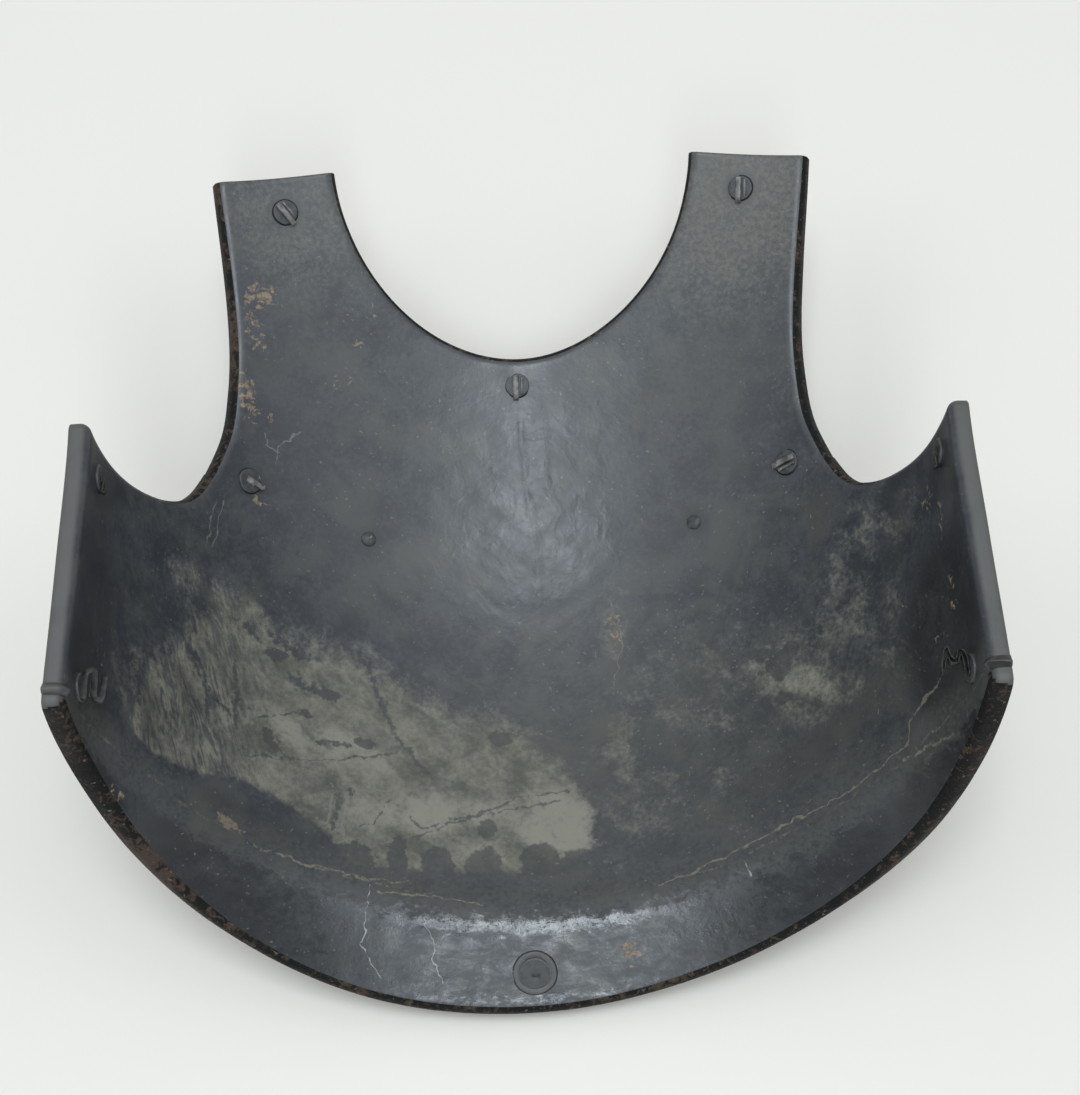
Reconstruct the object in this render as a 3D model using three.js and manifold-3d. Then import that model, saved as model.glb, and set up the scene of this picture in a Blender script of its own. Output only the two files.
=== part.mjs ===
// A steel breastplate lying on its domed front with the hollow up.
//
// Millimetres, +Z up, +Y towards the neck, +X to the right as the hollow is seen from above. The plate is one
// forged sheet: a shell that closes round the chest, a skirt flared out below the waist, and a narrow rim
// turned outwards along the neck, the armholes, the side edges and the skirt. Let into it are nine studs with
// folded split pins, two chest rivets, and a waist rivet on its washer.
//
// The sheet is drawn on its hollow face. A place on that face is a "turn" round the body in degrees, 0 on the
// middle line and 90 on a side edge, and a "height" above the waist. The body frame has y = height and
// z = minus the depth of the hollow, and the whole body is then pitched to the pose in which it lies.

import * as THREE from "three";
import { mergeVertices } from "three/addons/utils/BufferGeometryUtils.js";
import Module from "manifold-3d";

const wasm = await Module();
wasm.setup();

// ---------------------------------------------------------------- sizes

const PLATE = 2.5; // thickness of the sheet
const GAP = 0.3; // clearance between touching pieces
const SEAT = 0.5; // from the hollow face to the underside of a disc or washer
const HOLE_CLEARANCE = 0.45; // from a shank to its hole
const REST_PITCH = 4.7; // degrees by which the shoulders dip when it lies
const REST_FLAT = 0.3; // how much the belly is worn flat where it touches the ground
const BELLY = { from: 30, to: 150 }; // the heights between which it does

// Cross-sections |x / half_width|^n + |depth / depth|^n = 1, square to the height.
const SECTION_POWER = 2.1;
const SECTIONS = [
  { height: -60, half_width: 180.5, depth: 145, ridge: 0 },
  { height: 0, half_width: 180.5, depth: 161, ridge: 0 },
  { height: 60, half_width: 180, depth: 170, ridge: 0 },
  { height: 120, half_width: 180, depth: 167.5, ridge: 1.5 },
  { height: 180, half_width: 185, depth: 150, ridge: 6 },
  { height: 240, half_width: 191, depth: 123, ridge: 8.5 },
  { height: 300, half_width: 197, depth: 83.5, ridge: 6 },
  { height: 360, half_width: 200, depth: 35, ridge: 3 },
];
const RIDGE_SOFTNESS = 0.09; // as a share of the half width

const NECK = { half_width: 93, half_height: 87.5, bottom: 229.5 };
const SHOULDER = {
  outer_turn: 44.7,
  left: { neck_side: 306.5, arm_side: 296 },
  right: { neck_side: 311.5, arm_side: 301.5 },
};
const CHEST = { turn: 50.2, height: 155.5 }; // where the armhole starts to curve away to the side
const ARMHOLE_UPPER = [
  { turn: 46.4, height: 177 },
  { turn: 44.6, height: 198 },
  { turn: 43.6, height: 224 },
  { turn: 43.8, height: 258 },
];
const ARMHOLE_LOWER = [
  { turn: 54.4, height: 139.5 },
  { turn: 59.4, height: 129.5 },
  { turn: 67, height: 123 },
  { turn: 77, height: 119.5 },
  { turn: 90, height: 119.5 },
];

const WAIST = { side: 2, dip: 43.7, power: 2.1 }; // height = side - dip * cos(turn)^power
const SKIRT = { flare: 32, flare_power: 0.75, bend: 15 }; // the flare runs out as cos(turn)^flare_power
// The skirt's width along the sheet, by turn, the left side negative: it was trimmed by eye.
const SKIRT_WIDTHS = [
  { turn: -90, width: 3.2 },
  { turn: -75, width: 12.6 },
  { turn: -60, width: 24 },
  { turn: -40, width: 38.3 },
  { turn: -20, width: 48 },
  { turn: 0, width: 49.5 },
  { turn: 20, width: 43.4 },
  { turn: 40, width: 35.6 },
  { turn: 60, width: 26.2 },
  { turn: 75, width: 16 },
  { turn: 90, width: 5 },
];
const RIM = { bend: 4.5, height: 8.6 };

// Mesh steps.
const CHEST_COLUMNS = 11;
const ARM_COLUMNS = 10;
const YOKE_ROWS = 7;
const BODY_ROWS = 12;
const BEND_STEPS = 3;
const SKIRT_STEPS = 3;
const CORNER_STEPS = 3;

// Fastenings, as radii across and heights along their axis.
const STUD = { head: 7, head_height: 3.4, shank: 3.4, disc: 6, disc_thickness: 0.8, sides: 10 };
const SOCKET = { radius: 1.95, depth: 2.4 }; // the bore in a stud that takes a pin's post
const PIN = { post: 1.5, below: 1.5, above: 0.9, width: 3.2, thickness: 1.4, sides: 8 };
const CHEST_RIVET = { head: 6, head_height: 3, shank: 2.6, end: 3.7, end_height: 1.6, sides: 10 };
const WAIST_RIVET = { head: 7, head_height: 3, shank: 4, disc: 7, disc_thickness: 1.0, sides: 16 };
const WAIST_WASHER = { inner: 7.4, outer: 10, thickness: 0.6, sides: 16 };

// Folded split pins, as the line that a leg follows: along the plate, and up from the disc.
const PIN_LEGS = {
  straight: [
    [-5.4, 0.7],
    [-3, 1.3],
    [3, 1.5],
    [6.8, 1.0],
  ],
  short: [
    [0.5, 0.7],
    [3, 1.0],
    [6, 1.0],
  ],
  curled: [
    [-3.5, 0.8],
    [1, 0.9],
    [4.5, 2.6],
    [4.6, 5.6],
    [1.4, 7.2],
    [-1.6, 9],
    [-3.4, 11.6],
  ],
  doubled: [
    [-4.8, 0.8],
    [0.5, 0.9],
    [4.4, 2.2],
    [3.4, 4.4],
    [-1.2, 4.9],
    [-4.0, 6.6],
    [-1.4, 8.6],
    [2.6, 8.4],
  ],
};

// Each stud: side -1 is left, its place on the hollow face, its pin's shape and the way the pin points.
const STUDS = [
  { name: "shoulder_left", side: -1, turn: 34, height: 288, leg: "straight", points: -143 },
  { name: "shoulder_right", side: 1, turn: 34.2, height: 293.5, leg: "straight", points: 180 },
  { name: "neck", side: 1, turn: 0, height: 221, leg: "straight", points: 180 },
  { name: "chest_left", side: -1, turn: 44.6, height: 157.5, leg: "short", points: -120 },
  { name: "chest_right", side: 1, turn: 44, height: 160, leg: "straight", points: 110 },
  { name: "wing_top_left", side: -1, turn: 85.3, height: 106.5, leg: "short", points: 180 },
  { name: "wing_top_right", side: 1, turn: 84.5, height: 109.5, leg: "short", points: 180 },
  { name: "wing_bottom_left", side: -1, turn: 85, height: 11, leg: "doubled", points: 0 },
  { name: "wing_bottom_right", side: 1, turn: 84, height: 9.5, leg: "curled", points: 0 },
];
const CHEST_RIVETS = [
  { name: "chest_rivet_left", side: -1, turn: 23.6, height: 143 },
  { name: "chest_rivet_right", side: 1, turn: 27, height: 145 },
];
const WAIST_RIVET_PLACE = 33; // down the skirt from the waist, on the middle line

// ---------------------------------------------------------------- the hollow face

// A smooth curve through two columns of a table.
const curveOf = (rows, from, to) =>
  new THREE.CubicInterpolant(
    rows.map((row) => row[from]),
    rows.map((row) => row[to]),
    1,
  );
const halfWidth = curveOf(SECTIONS, "height", "half_width");
const depth = curveOf(SECTIONS, "height", "depth");
const ridge = curveOf(SECTIONS, "height", "ridge");
const skirtWidth = curveOf(SKIRT_WIDTHS, "turn", "width");

// The point of the hollow face at a turn and a height, in the body frame.
function facePoint(turn, height, side) {
  const angle = THREE.MathUtils.degToRad(turn);
  const across = Math.max(0, Math.sin(angle)) ** (2 / SECTION_POWER);
  const deep = Math.max(0, Math.cos(angle)) ** (2 / SECTION_POWER);
  const soft = Math.hypot(across, RIDGE_SOFTNESS) - RIDGE_SOFTNESS;
  const top = ridge.evaluate(height)[0];
  const fall = top * ((1 - soft) ** 2 - 1);
  const x = side * halfWidth.evaluate(height)[0] * across;
  return new THREE.Vector3(x, height, -(depth.evaluate(height)[0] * deep + fall * deep));
}

// The unit vectors of the hollow face there: up the body, across it, and out of the plate's domed side.
function faceAxes(turn, height, side) {
  const step = 0.4;
  const up = facePoint(turn, height + step, side).sub(facePoint(turn, height - step, side)).normalize();
  const from = facePoint(Math.max(turn - step, 0), height, side);
  const across = facePoint(Math.min(turn + step, 90), height, side).sub(from).multiplyScalar(side);
  if (turn < step) across.set(1, 0, 0);
  const out = new THREE.Vector3().crossVectors(up, across).normalize();
  across.crossVectors(out, up).normalize();
  return { up, across, out };
}

const levelOf = (turn) => Math.max(0, Math.cos(THREE.MathUtils.degToRad(turn)));
const waistHeight = (turn) => WAIST.side - WAIST.dip * levelOf(turn) ** WAIST.power;

// ---------------------------------------------------------------- outlines, as lists of places

const place = (turn, height) => new THREE.Vector2(turn, height);
const evenly = (curve, parts) => Array.from({ length: parts + 1 }, (_, i) => curve.getPointAt(i / parts));
const splineOf = (rows) => new THREE.SplineCurve(rows.map((row) => place(row.turn, row.height)));

// The turn at which the hollow face has a given distance from the middle line.
function turnAt(x, height) {
  const share = Math.min(1, x / halfWidth.evaluate(height)[0]);
  return THREE.MathUtils.radToDeg(Math.asin(share ** (SECTION_POWER / 2)));
}

function neckLine(side, parts) {
  const end = side < 0 ? SHOULDER.left : SHOULDER.right;
  const middle = NECK.bottom + NECK.half_height;
  const sweep = Math.acos((middle - end.neck_side) / NECK.half_height);
  return Array.from({ length: parts + 1 }, (_, i) => {
    const angle = (sweep * i) / parts;
    const height = middle - NECK.half_height * Math.cos(angle);
    return place(turnAt(NECK.half_width * Math.sin(angle), height), height);
  });
}

function armholeUpper(side, parts) {
  const end = side < 0 ? SHOULDER.left : SHOULDER.right;
  const rows = [CHEST, ...ARMHOLE_UPPER, { turn: SHOULDER.outer_turn, height: end.arm_side }];
  return evenly(splineOf(rows), parts);
}

const armholeLower = (parts) => evenly(splineOf([CHEST, ...ARMHOLE_LOWER]), parts);
const chestLine = (parts) =>
  evenly(new THREE.LineCurve(place(0, CHEST.height), place(CHEST.turn, CHEST.height)), parts);

// ---------------------------------------------------------------- the sheet

// Rows of points between two lists of places.
function ruled(first, last, rows, side) {
  return Array.from({ length: rows + 1 }, (_, r) =>
    first.map((from, i) => {
      const spot = from.clone().lerp(last[i], r / rows);
      return facePoint(spot.x, spot.y, side);
    }),
  );
}

// The rows of the skirt below the waist: a rounded bend, then a straight flare.
function skirtRows(turns, side) {
  const columns = turns.map((turn) => {
    const level = levelOf(turn);
    const flare = THREE.MathUtils.degToRad(SKIRT.flare) * level ** SKIRT.flare_power;
    const height = waistHeight(turn);
    const { up, across } = faceAxes(turn, height, side);
    const outward = new THREE.Vector3(across.z, 0, -across.x).normalize();
    if (outward.dot(facePoint(turn, height, side)) < 0) outward.negate();
    const start = -Math.asin(up.dot(outward));
    const width = skirtWidth.evaluate(side * turn)[0];
    const point = facePoint(turn, height, side);
    const column = [point.clone()];
    const heading = (angle) => outward.clone().multiplyScalar(Math.sin(angle)).setY(-Math.cos(angle));
    const step = (flare - start) / BEND_STEPS;
    let travelled = 0;
    for (let i = 0; i < BEND_STEPS; i++) {
      const length = Math.min(2 * SKIRT.bend * Math.tan(step / 2), (width * 0.6) / BEND_STEPS);
      point.addScaledVector(heading(start + step * (i + 0.5)), length);
      travelled += length;
      column.push(point.clone());
    }
    for (let i = 1; i <= SKIRT_STEPS; i++) {
      column.push(point.clone().addScaledVector(heading(flare), ((width - travelled) * i) / SKIRT_STEPS));
    }
    return column;
  });
  return columns[0].map((_, r) => columns.map((column) => column[r]));
}

// Frames along an edge of the sheet: the point, the way off the edge within the sheet, and the way out of
// its domed side.
function edgeFrames(edge, inner, startsOnMiddle, endsOnMiddle) {
  return edge.map((point, i) => {
    const before = edge[Math.max(i - 1, 0)];
    const after = edge[Math.min(i + 1, edge.length - 1)];
    const tangent = after.clone().sub(before).normalize();
    const onMiddle = (i === 0 && startsOnMiddle) || (i === edge.length - 1 && endsOnMiddle);
    if (onMiddle) tangent.set(Math.sign(tangent.x), 0, 0);
    const off = point.clone().sub(inner[i]);
    off.addScaledVector(tangent, -off.dot(tangent)).normalize();
    const out = new THREE.Vector3().crossVectors(tangent, off).normalize();
    if (out.dot(new THREE.Vector3(point.x, 0, point.z + 40)) < 0) out.negate();
    return { point, off, out };
  });
}

// The frames that carry the rim round a corner, between the last of one edge and the first of the next.
function cornerFrames(from, to) {
  return Array.from({ length: CORNER_STEPS - 1 }, (_, i) => {
    const share = (i + 1) / CORNER_STEPS;
    const out = from.out.clone().lerp(to.out, share).normalize();
    const off = from.off.clone().multiplyScalar(Math.cos((share * Math.PI) / 2));
    off.addScaledVector(to.off, Math.sin((share * Math.PI) / 2));
    off.addScaledVector(out, -off.dot(out)).normalize();
    return { point: from.point, off, out };
  });
}

// The rim as rows of points: a quarter bend away from the hollow, then straight to its height.
function rimRows(frames) {
  const at = (along, rise) =>
    frames.map(({ point, off, out }) => point.clone().addScaledVector(off, along).addScaledVector(out, rise));
  const rows = [];
  for (let i = 0; i <= BEND_STEPS; i++) {
    const angle = (i / BEND_STEPS) * (Math.PI / 2);
    rows.push(at(RIM.bend * Math.sin(angle), RIM.bend * (1 - Math.cos(angle))));
  }
  rows.push(at(RIM.bend, RIM.height));
  return rows;
}

const column = (rows, i) => rows.map((row) => row.at(i));

// All the grids of one half of the hollow face.
function halfSheet(side) {
  const columns = CHEST_COLUMNS + ARM_COLUMNS;
  const chest = chestLine(CHEST_COLUMNS);
  const yoke = ruled(
    neckLine(side, columns),
    [...chest, ...armholeUpper(side, ARM_COLUMNS).slice(1)],
    YOKE_ROWS,
    side,
  );
  const top = [...chest, ...armholeLower(ARM_COLUMNS).slice(1)];
  const waist = top.map((spot) => place(spot.x, waistHeight(spot.x)));
  const body = ruled(waist, top, BODY_ROWS, side);
  const skirt = skirtRows(
    waist.map((spot) => spot.x),
    side,
  );

  const neck = edgeFrames(yoke[0], yoke[1], true, false);
  const upperArm = yoke.at(-1).slice(CHEST_COLUMNS).reverse();
  const upperArmInner = yoke.at(-2).slice(CHEST_COLUMNS).reverse();
  const lowerArm = body.at(-1).slice(CHEST_COLUMNS + 1);
  const lowerArmInner = body.at(-2).slice(CHEST_COLUMNS + 1);
  const arm = edgeFrames([...upperArm, ...lowerArm], [...upperArmInner, ...lowerArmInner], false, false);
  const sideEdge = [...column(body, -1).reverse(), ...column(skirt, -1).slice(1)];
  const sideInner = [...column(body, -2).reverse(), ...column(skirt, -2).slice(1)];
  const flank = edgeFrames(sideEdge, sideInner, false, false);
  const hem = edgeFrames(skirt.at(-1).toReversed(), skirt.at(-2).toReversed(), false, true);
  const outer = [
    ...arm,
    ...cornerFrames(arm.at(-1), flank[0]),
    ...flank,
    ...cornerFrames(flank.at(-1), hem[0]),
    ...hem,
  ];
  return { inside: [yoke, body.toReversed(), skirt], rims: [rimRows(neck), rimRows(outer)] };
}

// Adds a grid's triangles, wound so that their front is the hollow side where flip is false.
function addGrid(triangles, rows, flip) {
  for (let r = 0; r + 1 < rows.length; r++) {
    for (let c = 0; c + 1 < rows[r].length; c++) {
      const corners = [rows[r][c], rows[r + 1][c], rows[r + 1][c + 1], rows[r][c + 1]];
      if (flip) corners.reverse();
      const [a, b, c2, d] = corners;
      const shorter = a.distanceTo(c2) <= b.distanceTo(d);
      const pair = shorter ? [a, b, c2, a, c2, d] : [a, b, d, b, c2, d];
      for (let i = 0; i < 6; i += 3) {
        const [p, q, s] = pair.slice(i, i + 3);
        const area = q.clone().sub(p).cross(s.clone().sub(p)).length();
        if (area > 1e-4) triangles.push(p, q, s);
      }
    }
  }
}

// Gives a face its thickness, away from the side its triangles front.
function thicken(triangles, thickness) {
  const face = mergeVertices(new THREE.BufferGeometry().setFromPoints(triangles), 1e-3);
  face.computeVertexNormals();
  const points = face.getAttribute("position");
  const normals = face.getAttribute("normal");
  const count = points.count;
  const vertices = new Float32Array(count * 6);
  for (let i = 0; i < count; i++) {
    const near = new THREE.Vector3().fromBufferAttribute(points, i);
    const far = near.clone().addScaledVector(new THREE.Vector3().fromBufferAttribute(normals, i), -thickness);
    near.toArray(vertices, i * 3);
    far.toArray(vertices, (count + i) * 3);
  }
  const index = [...face.index.array];
  const edges = new Set();
  const all = [];
  for (let i = 0; i < index.length; i += 3) {
    const [a, b, c] = index.slice(i, i + 3);
    all.push(a, b, c, c + count, b + count, a + count);
    [`${a},${b}`, `${b},${c}`, `${c},${a}`].forEach((edge) => edges.add(edge));
  }
  for (const edge of edges) {
    const [a, b] = edge.split(",").map(Number);
    if (!edges.has(`${b},${a}`)) all.push(b, a, a + count, b, a + count, b + count);
  }
  return new wasm.Manifold(
    new wasm.Mesh({ numProp: 3, vertProperties: vertices, triVerts: new Uint32Array(all) }),
  );
}

// ---------------------------------------------------------------- solids and geometries

function solidOf(geometry) {
  const plain = geometry.clone();
  plain.deleteAttribute("normal");
  plain.deleteAttribute("uv");
  const merged = mergeVertices(plain, 1e-4);
  return new wasm.Manifold(
    new wasm.Mesh({
      numProp: 3,
      vertProperties: merged.getAttribute("position").array,
      triVerts: new Uint32Array(merged.index.array),
    }),
  );
}

function geometryOf(solid) {
  const mesh = solid.getMesh();
  const geometry = new THREE.BufferGeometry();
  geometry.setAttribute("position", new THREE.BufferAttribute(new Float32Array(mesh.vertProperties), 3));
  geometry.setIndex(new THREE.BufferAttribute(new Uint32Array(mesh.triVerts), 1));
  return geometry.toNonIndexed();
}

// The placement of a fastening: its y axis points into the hollow, its z axis up the body.
function placement(origin, out, up) {
  const y = out.clone().negate();
  const x = new THREE.Vector3().crossVectors(y, up).normalize();
  const z = new THREE.Vector3().crossVectors(x, y).normalize();
  return new THREE.Matrix4().makeBasis(x, y, z).setPosition(origin);
}

function facePlacement({ turn, height, side }) {
  const { up, out } = faceAxes(turn, height, side);
  return placement(facePoint(turn, height, side), out, up);
}

function skirtPlacement(distance) {
  const rows = skirtRows([0, 1], 1);
  const edge = rows.at(-1)[0];
  const waist = rows[0][0];
  const up = rows.at(-1 - SKIRT_STEPS)[0].clone().sub(edge).normalize();
  const length = edge.distanceTo(waist);
  const origin = edge.clone().addScaledVector(up, length - distance);
  return placement(origin, new THREE.Vector3(0, -up.z, up.y).negate(), up);
}

const lathe = (profile, sides) =>
  new THREE.LatheGeometry(
    profile.map(([radius, y]) => new THREE.Vector2(radius, y)),
    sides,
  );

// The domed outside head shared by the studs and rivets, from its tip to its rim.
function headProfile({ head, head_height }) {
  const base = -PLATE - GAP;
  return [0, 45, 90].map((angle) => {
    const a = THREE.MathUtils.degToRad(angle);
    return [head * Math.sin(a), base - head_height * Math.cos(a)];
  });
}

function studGeometry() {
  const base = -PLATE - GAP;
  const face = SEAT + STUD.disc_thickness;
  const profile = [
    ...headProfile(STUD),
    [STUD.shank, base],
    [STUD.shank, SEAT],
    [STUD.disc, SEAT],
    [STUD.disc, face],
    [SOCKET.radius, face],
    [SOCKET.radius, face - SOCKET.depth],
    [0, face - SOCKET.depth],
  ];
  return lathe(profile, STUD.sides);
}

// A flat ribbon of the pin's thickness along a line, as a closed outline.
function ribbonShape(line, samples) {
  const curve = new THREE.SplineCurve(line.map(([along, rise]) => new THREE.Vector2(along, rise)));
  const half = PIN.thickness / 2;
  const sides = [1, -1].map((sign) =>
    Array.from({ length: samples + 1 }, (_, i) => {
      const t = curve.getTangentAt(i / samples);
      return curve.getPointAt(i / samples).add(new THREE.Vector2(-t.y, t.x).multiplyScalar(sign * half));
    }),
  );
  return new THREE.Shape([...sides[0], ...sides[1].reverse()]);
}

// A pin: a post in the stud's socket and a leg folded down over the disc.
function pinGeometry(leg) {
  const line = PIN_LEGS[leg];
  const base = SEAT + STUD.disc_thickness + GAP;
  const options = { depth: PIN.width, bevelEnabled: false };
  const strip = new THREE.ExtrudeGeometry(ribbonShape(line, line.length * 2), options);
  strip.translate(0, base, -PIN.width / 2);
  strip.rotateY(-Math.PI / 2);
  const post = new THREE.CylinderGeometry(PIN.post, PIN.post, PIN.below + PIN.above, PIN.sides);
  post.translate(0, base + (PIN.above - PIN.below) / 2, 0);
  return geometryOf(solidOf(strip).add(solidOf(post)));
}

function rivetGeometry(rivet, end) {
  const base = -PLATE - GAP;
  return lathe([...headProfile(rivet), [rivet.shank, base], [rivet.shank, SEAT], ...end], rivet.sides);
}

function chestRivetGeometry() {
  const rise = [90, 45, 0].map((angle) => {
    const a = THREE.MathUtils.degToRad(angle);
    return [CHEST_RIVET.end * Math.sin(a), SEAT + CHEST_RIVET.end_height * Math.cos(a)];
  });
  return rivetGeometry(CHEST_RIVET, rise);
}

function waistRivetGeometry() {
  const top = SEAT + WAIST_RIVET.disc_thickness;
  return rivetGeometry(WAIST_RIVET, [
    [WAIST_RIVET.disc, SEAT],
    [WAIST_RIVET.disc, top],
    [0, top],
  ]);
}

function waistWasherGeometry() {
  const { inner, outer, thickness, sides } = WAIST_WASHER;
  const top = SEAT + thickness;
  const corners = [
    [inner, SEAT],
    [outer, SEAT],
    [outer, top],
    [inner, top],
    [inner, SEAT],
  ];
  return lathe(corners, sides);
}

// ---------------------------------------------------------------- materials

const steel = {
  plate: new THREE.MeshStandardMaterial({ color: 0x34383d, roughness: 0.45, metalness: 0.7 }),
  stud: new THREE.MeshStandardMaterial({ color: 0x3a3c3e, roughness: 0.5, metalness: 0.7 }),
  pin: new THREE.MeshStandardMaterial({ color: 0x55534d, roughness: 0.5, metalness: 0.7 }),
  rivet: new THREE.MeshStandardMaterial({ color: 0x3f4346, roughness: 0.5, metalness: 0.7 }),
};

// ---------------------------------------------------------------- the breastplate

const lying = new THREE.Group();
lying.rotation.x = -THREE.MathUtils.degToRad(REST_PITCH);
lying.updateMatrix();

function add(name, geometry, material, matrix = new THREE.Matrix4()) {
  const mesh = new THREE.Mesh(geometry, material);
  mesh.name = name;
  mesh.applyMatrix4(matrix);
  lying.add(mesh);
}

function breastShell(holes) {
  const triangles = [];
  for (const side of [1, -1]) {
    const { inside, rims } = halfSheet(side);
    inside.forEach((rows) => addGrid(triangles, rows, side < 0));
    rims.forEach((rows) => addGrid(triangles, rows, side > 0));
  }
  let shell = thicken(triangles, PLATE);
  for (const { matrix, radius } of holes) {
    const drill = new THREE.CylinderGeometry(radius, radius, 4 * PLATE, STUD.sides).applyMatrix4(matrix);
    shell = shell.subtract(solidOf(drill));
  }
  return shell.subtract(solidOf(groundUnder(shell)));
}

// The block below the plane that the belly rests on, in the body frame.
function groundUnder(shell) {
  const point = new THREE.Vector3();
  const lowest = new THREE.Vector3(0, 0, Infinity);
  const { vertProperties } = shell.getMesh();
  for (let i = 0; i < vertProperties.length; i += 3) {
    point.fromArray(vertProperties, i);
    const onBelly = point.y > BELLY.from && point.y < BELLY.to;
    point.applyMatrix4(lying.matrix);
    if (onBelly && point.z < lowest.z) lowest.copy(point);
  }
  const block = new THREE.BoxGeometry(BELLY.to, BELLY.to, BELLY.to);
  block.translate(0, lowest.y, lowest.z + REST_FLAT - BELLY.to / 2);
  return block.applyMatrix4(lying.matrix.clone().invert());
}

const studs = STUDS.map((stud) => ({ ...stud, matrix: facePlacement(stud) }));
const chestRivets = CHEST_RIVETS.map((rivet) => ({ ...rivet, matrix: facePlacement(rivet) }));
const waistRivet = skirtPlacement(WAIST_RIVET_PLACE);
const holes = [
  ...studs.map(({ matrix }) => ({ matrix, radius: STUD.shank + HOLE_CLEARANCE })),
  ...chestRivets.map(({ matrix }) => ({ matrix, radius: CHEST_RIVET.shank + HOLE_CLEARANCE })),
  { matrix: waistRivet, radius: WAIST_RIVET.shank + HOLE_CLEARANCE },
];

add("breast_shell", geometryOf(breastShell(holes)), steel.plate);
for (const { name, matrix, leg, points } of studs) {
  add(`stud_${name}`, studGeometry(), steel.stud, matrix);
  const pin = pinGeometry(leg).rotateY(THREE.MathUtils.degToRad(points));
  add(`pin_${name}`, pin, steel.pin, matrix);
}
for (const { name, matrix } of chestRivets) add(name, chestRivetGeometry(), steel.rivet, matrix);
add("waist_rivet", waistRivetGeometry(), steel.rivet, waistRivet);
add("waist_washer", waistWasherGeometry(), steel.rivet, waistRivet);

const breastplate = new THREE.Group();
breastplate.add(lying);
const box = new THREE.Box3().setFromObject(breastplate, true);
const middle = box.getCenter(new THREE.Vector3());
lying.position.set(-middle.x, -middle.y, -box.min.z);

export default breastplate;
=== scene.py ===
"""Looks for a blackened steel breastplate that lies on its domed front with the hollow up.

The tables are in millimetres and degrees, and the objects in metres in the part's own frame. The sheet is
drawn on its hollow face: a "turn" round the body, 0 on the middle line and 90 on a side edge, and a "height"
above the waist. Marks on the sheet are placed in flattened coordinates: "across" from the middle line and
"along" the body, up from the waist level, both in millimetres.
"""

import math

import bpy
import numpy as np
from mathutils import Matrix, Vector, noise


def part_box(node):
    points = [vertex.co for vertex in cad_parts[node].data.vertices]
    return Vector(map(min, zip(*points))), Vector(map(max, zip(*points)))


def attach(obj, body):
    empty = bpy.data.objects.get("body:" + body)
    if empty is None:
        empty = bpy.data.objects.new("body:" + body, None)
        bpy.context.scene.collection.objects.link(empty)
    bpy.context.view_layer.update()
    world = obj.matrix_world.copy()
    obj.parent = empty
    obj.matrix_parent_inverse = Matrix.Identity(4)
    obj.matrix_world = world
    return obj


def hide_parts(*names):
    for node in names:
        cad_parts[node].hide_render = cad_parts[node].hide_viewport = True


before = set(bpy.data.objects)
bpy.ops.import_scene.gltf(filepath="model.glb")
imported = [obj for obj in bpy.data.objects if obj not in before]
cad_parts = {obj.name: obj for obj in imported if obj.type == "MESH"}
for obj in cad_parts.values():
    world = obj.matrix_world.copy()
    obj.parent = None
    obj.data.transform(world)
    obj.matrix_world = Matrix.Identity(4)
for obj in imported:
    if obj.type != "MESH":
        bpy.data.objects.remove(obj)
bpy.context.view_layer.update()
MM = 0.001

# ---------------------------------------------------------------- sizes of the sheet, as in the part's source

PLATE = 2.5  # thickness of the sheet
REST_PITCH = 4.7  # degrees by which the shoulders dip when it lies
SECTION_POWER = 2.1
# At each height of the body: its half width, its depth, and how far its ridge stands out.
HALF_WIDTH = [(-60, 180.5), (0, 180.5), (60, 180), (120, 180), (180, 185), (240, 191), (300, 197), (360, 200)]
DEPTH = [(-60, 145), (0, 161), (60, 170), (120, 167.5), (180, 150), (240, 123), (300, 83.5), (360, 35)]
RIDGE = [(-60, 0), (0, 0), (60, 0), (120, 1.5), (180, 6), (240, 8.5), (300, 6), (360, 3)]
RIDGE_SOFTNESS = 0.09  # as a share of the half width

NECK = {"half_width": 93, "half_height": 87.5, "bottom": 229.5}
SHOULDER_TURN = 44.7  # of the armhole's upper end
SHOULDER_ENDS = {
    -1: {"neck_side": 306.5, "arm_side": 296},
    1: {"neck_side": 311.5, "arm_side": 301.5},
}
# Turns and heights along the armhole, from where it starts to curve away to the side.
CHEST = (50.2, 155.5)
ARMHOLE_UPPER = [(46.4, 177), (44.6, 198), (43.6, 224), (43.8, 258)]
ARMHOLE_LOWER = [(54.4, 139.5), (59.4, 129.5), (67, 123), (77, 119.5), (90, 119.5)]
WAIST = {"side": 2, "dip": 43.7, "power": 2.1}
SKIRT = {"flare": 32, "flare_power": 0.75, "bend": 15}
BEND_SHARE = 0.6  # the bend takes at most this share of the skirt's width
SKIRT_WIDTHS = [
    (-90, 3.2), (-75, 12.6), (-60, 24), (-40, 38.3), (-20, 48), (0, 49.5),
    (20, 43.4), (40, 35.6), (60, 26.2), (75, 16), (90, 5),
]
RIM = {"bend": 4.5, "height": 8.2}  # less than the part's 8.6, since the LIP comes on top
LIP = 0.7  # how far the rounded cut edge stands out
BODY_AXIS = 40  # how deep in the hollow the line lies that the rims turn away from

CHEST_COLUMNS = 64
ARM_COLUMNS = 50
MIDDLE_CROWDING = 1.25  # columns crowd towards the middle line
YOKE_ROWS = 40
BODY_ROWS = 82
BEND_STEPS = 8
SKIRT_STEPS = 18
RIM_BEND_STEPS = 5
RIM_STEPS = 2
CORNER_STEPS = 6
FINE_STEPS = 400  # points on a curve before it is spaced evenly
FLAT_SECTION = 100  # the height whose section gives the across coordinate

# ---------------------------------------------------------------- the hollow face


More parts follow.
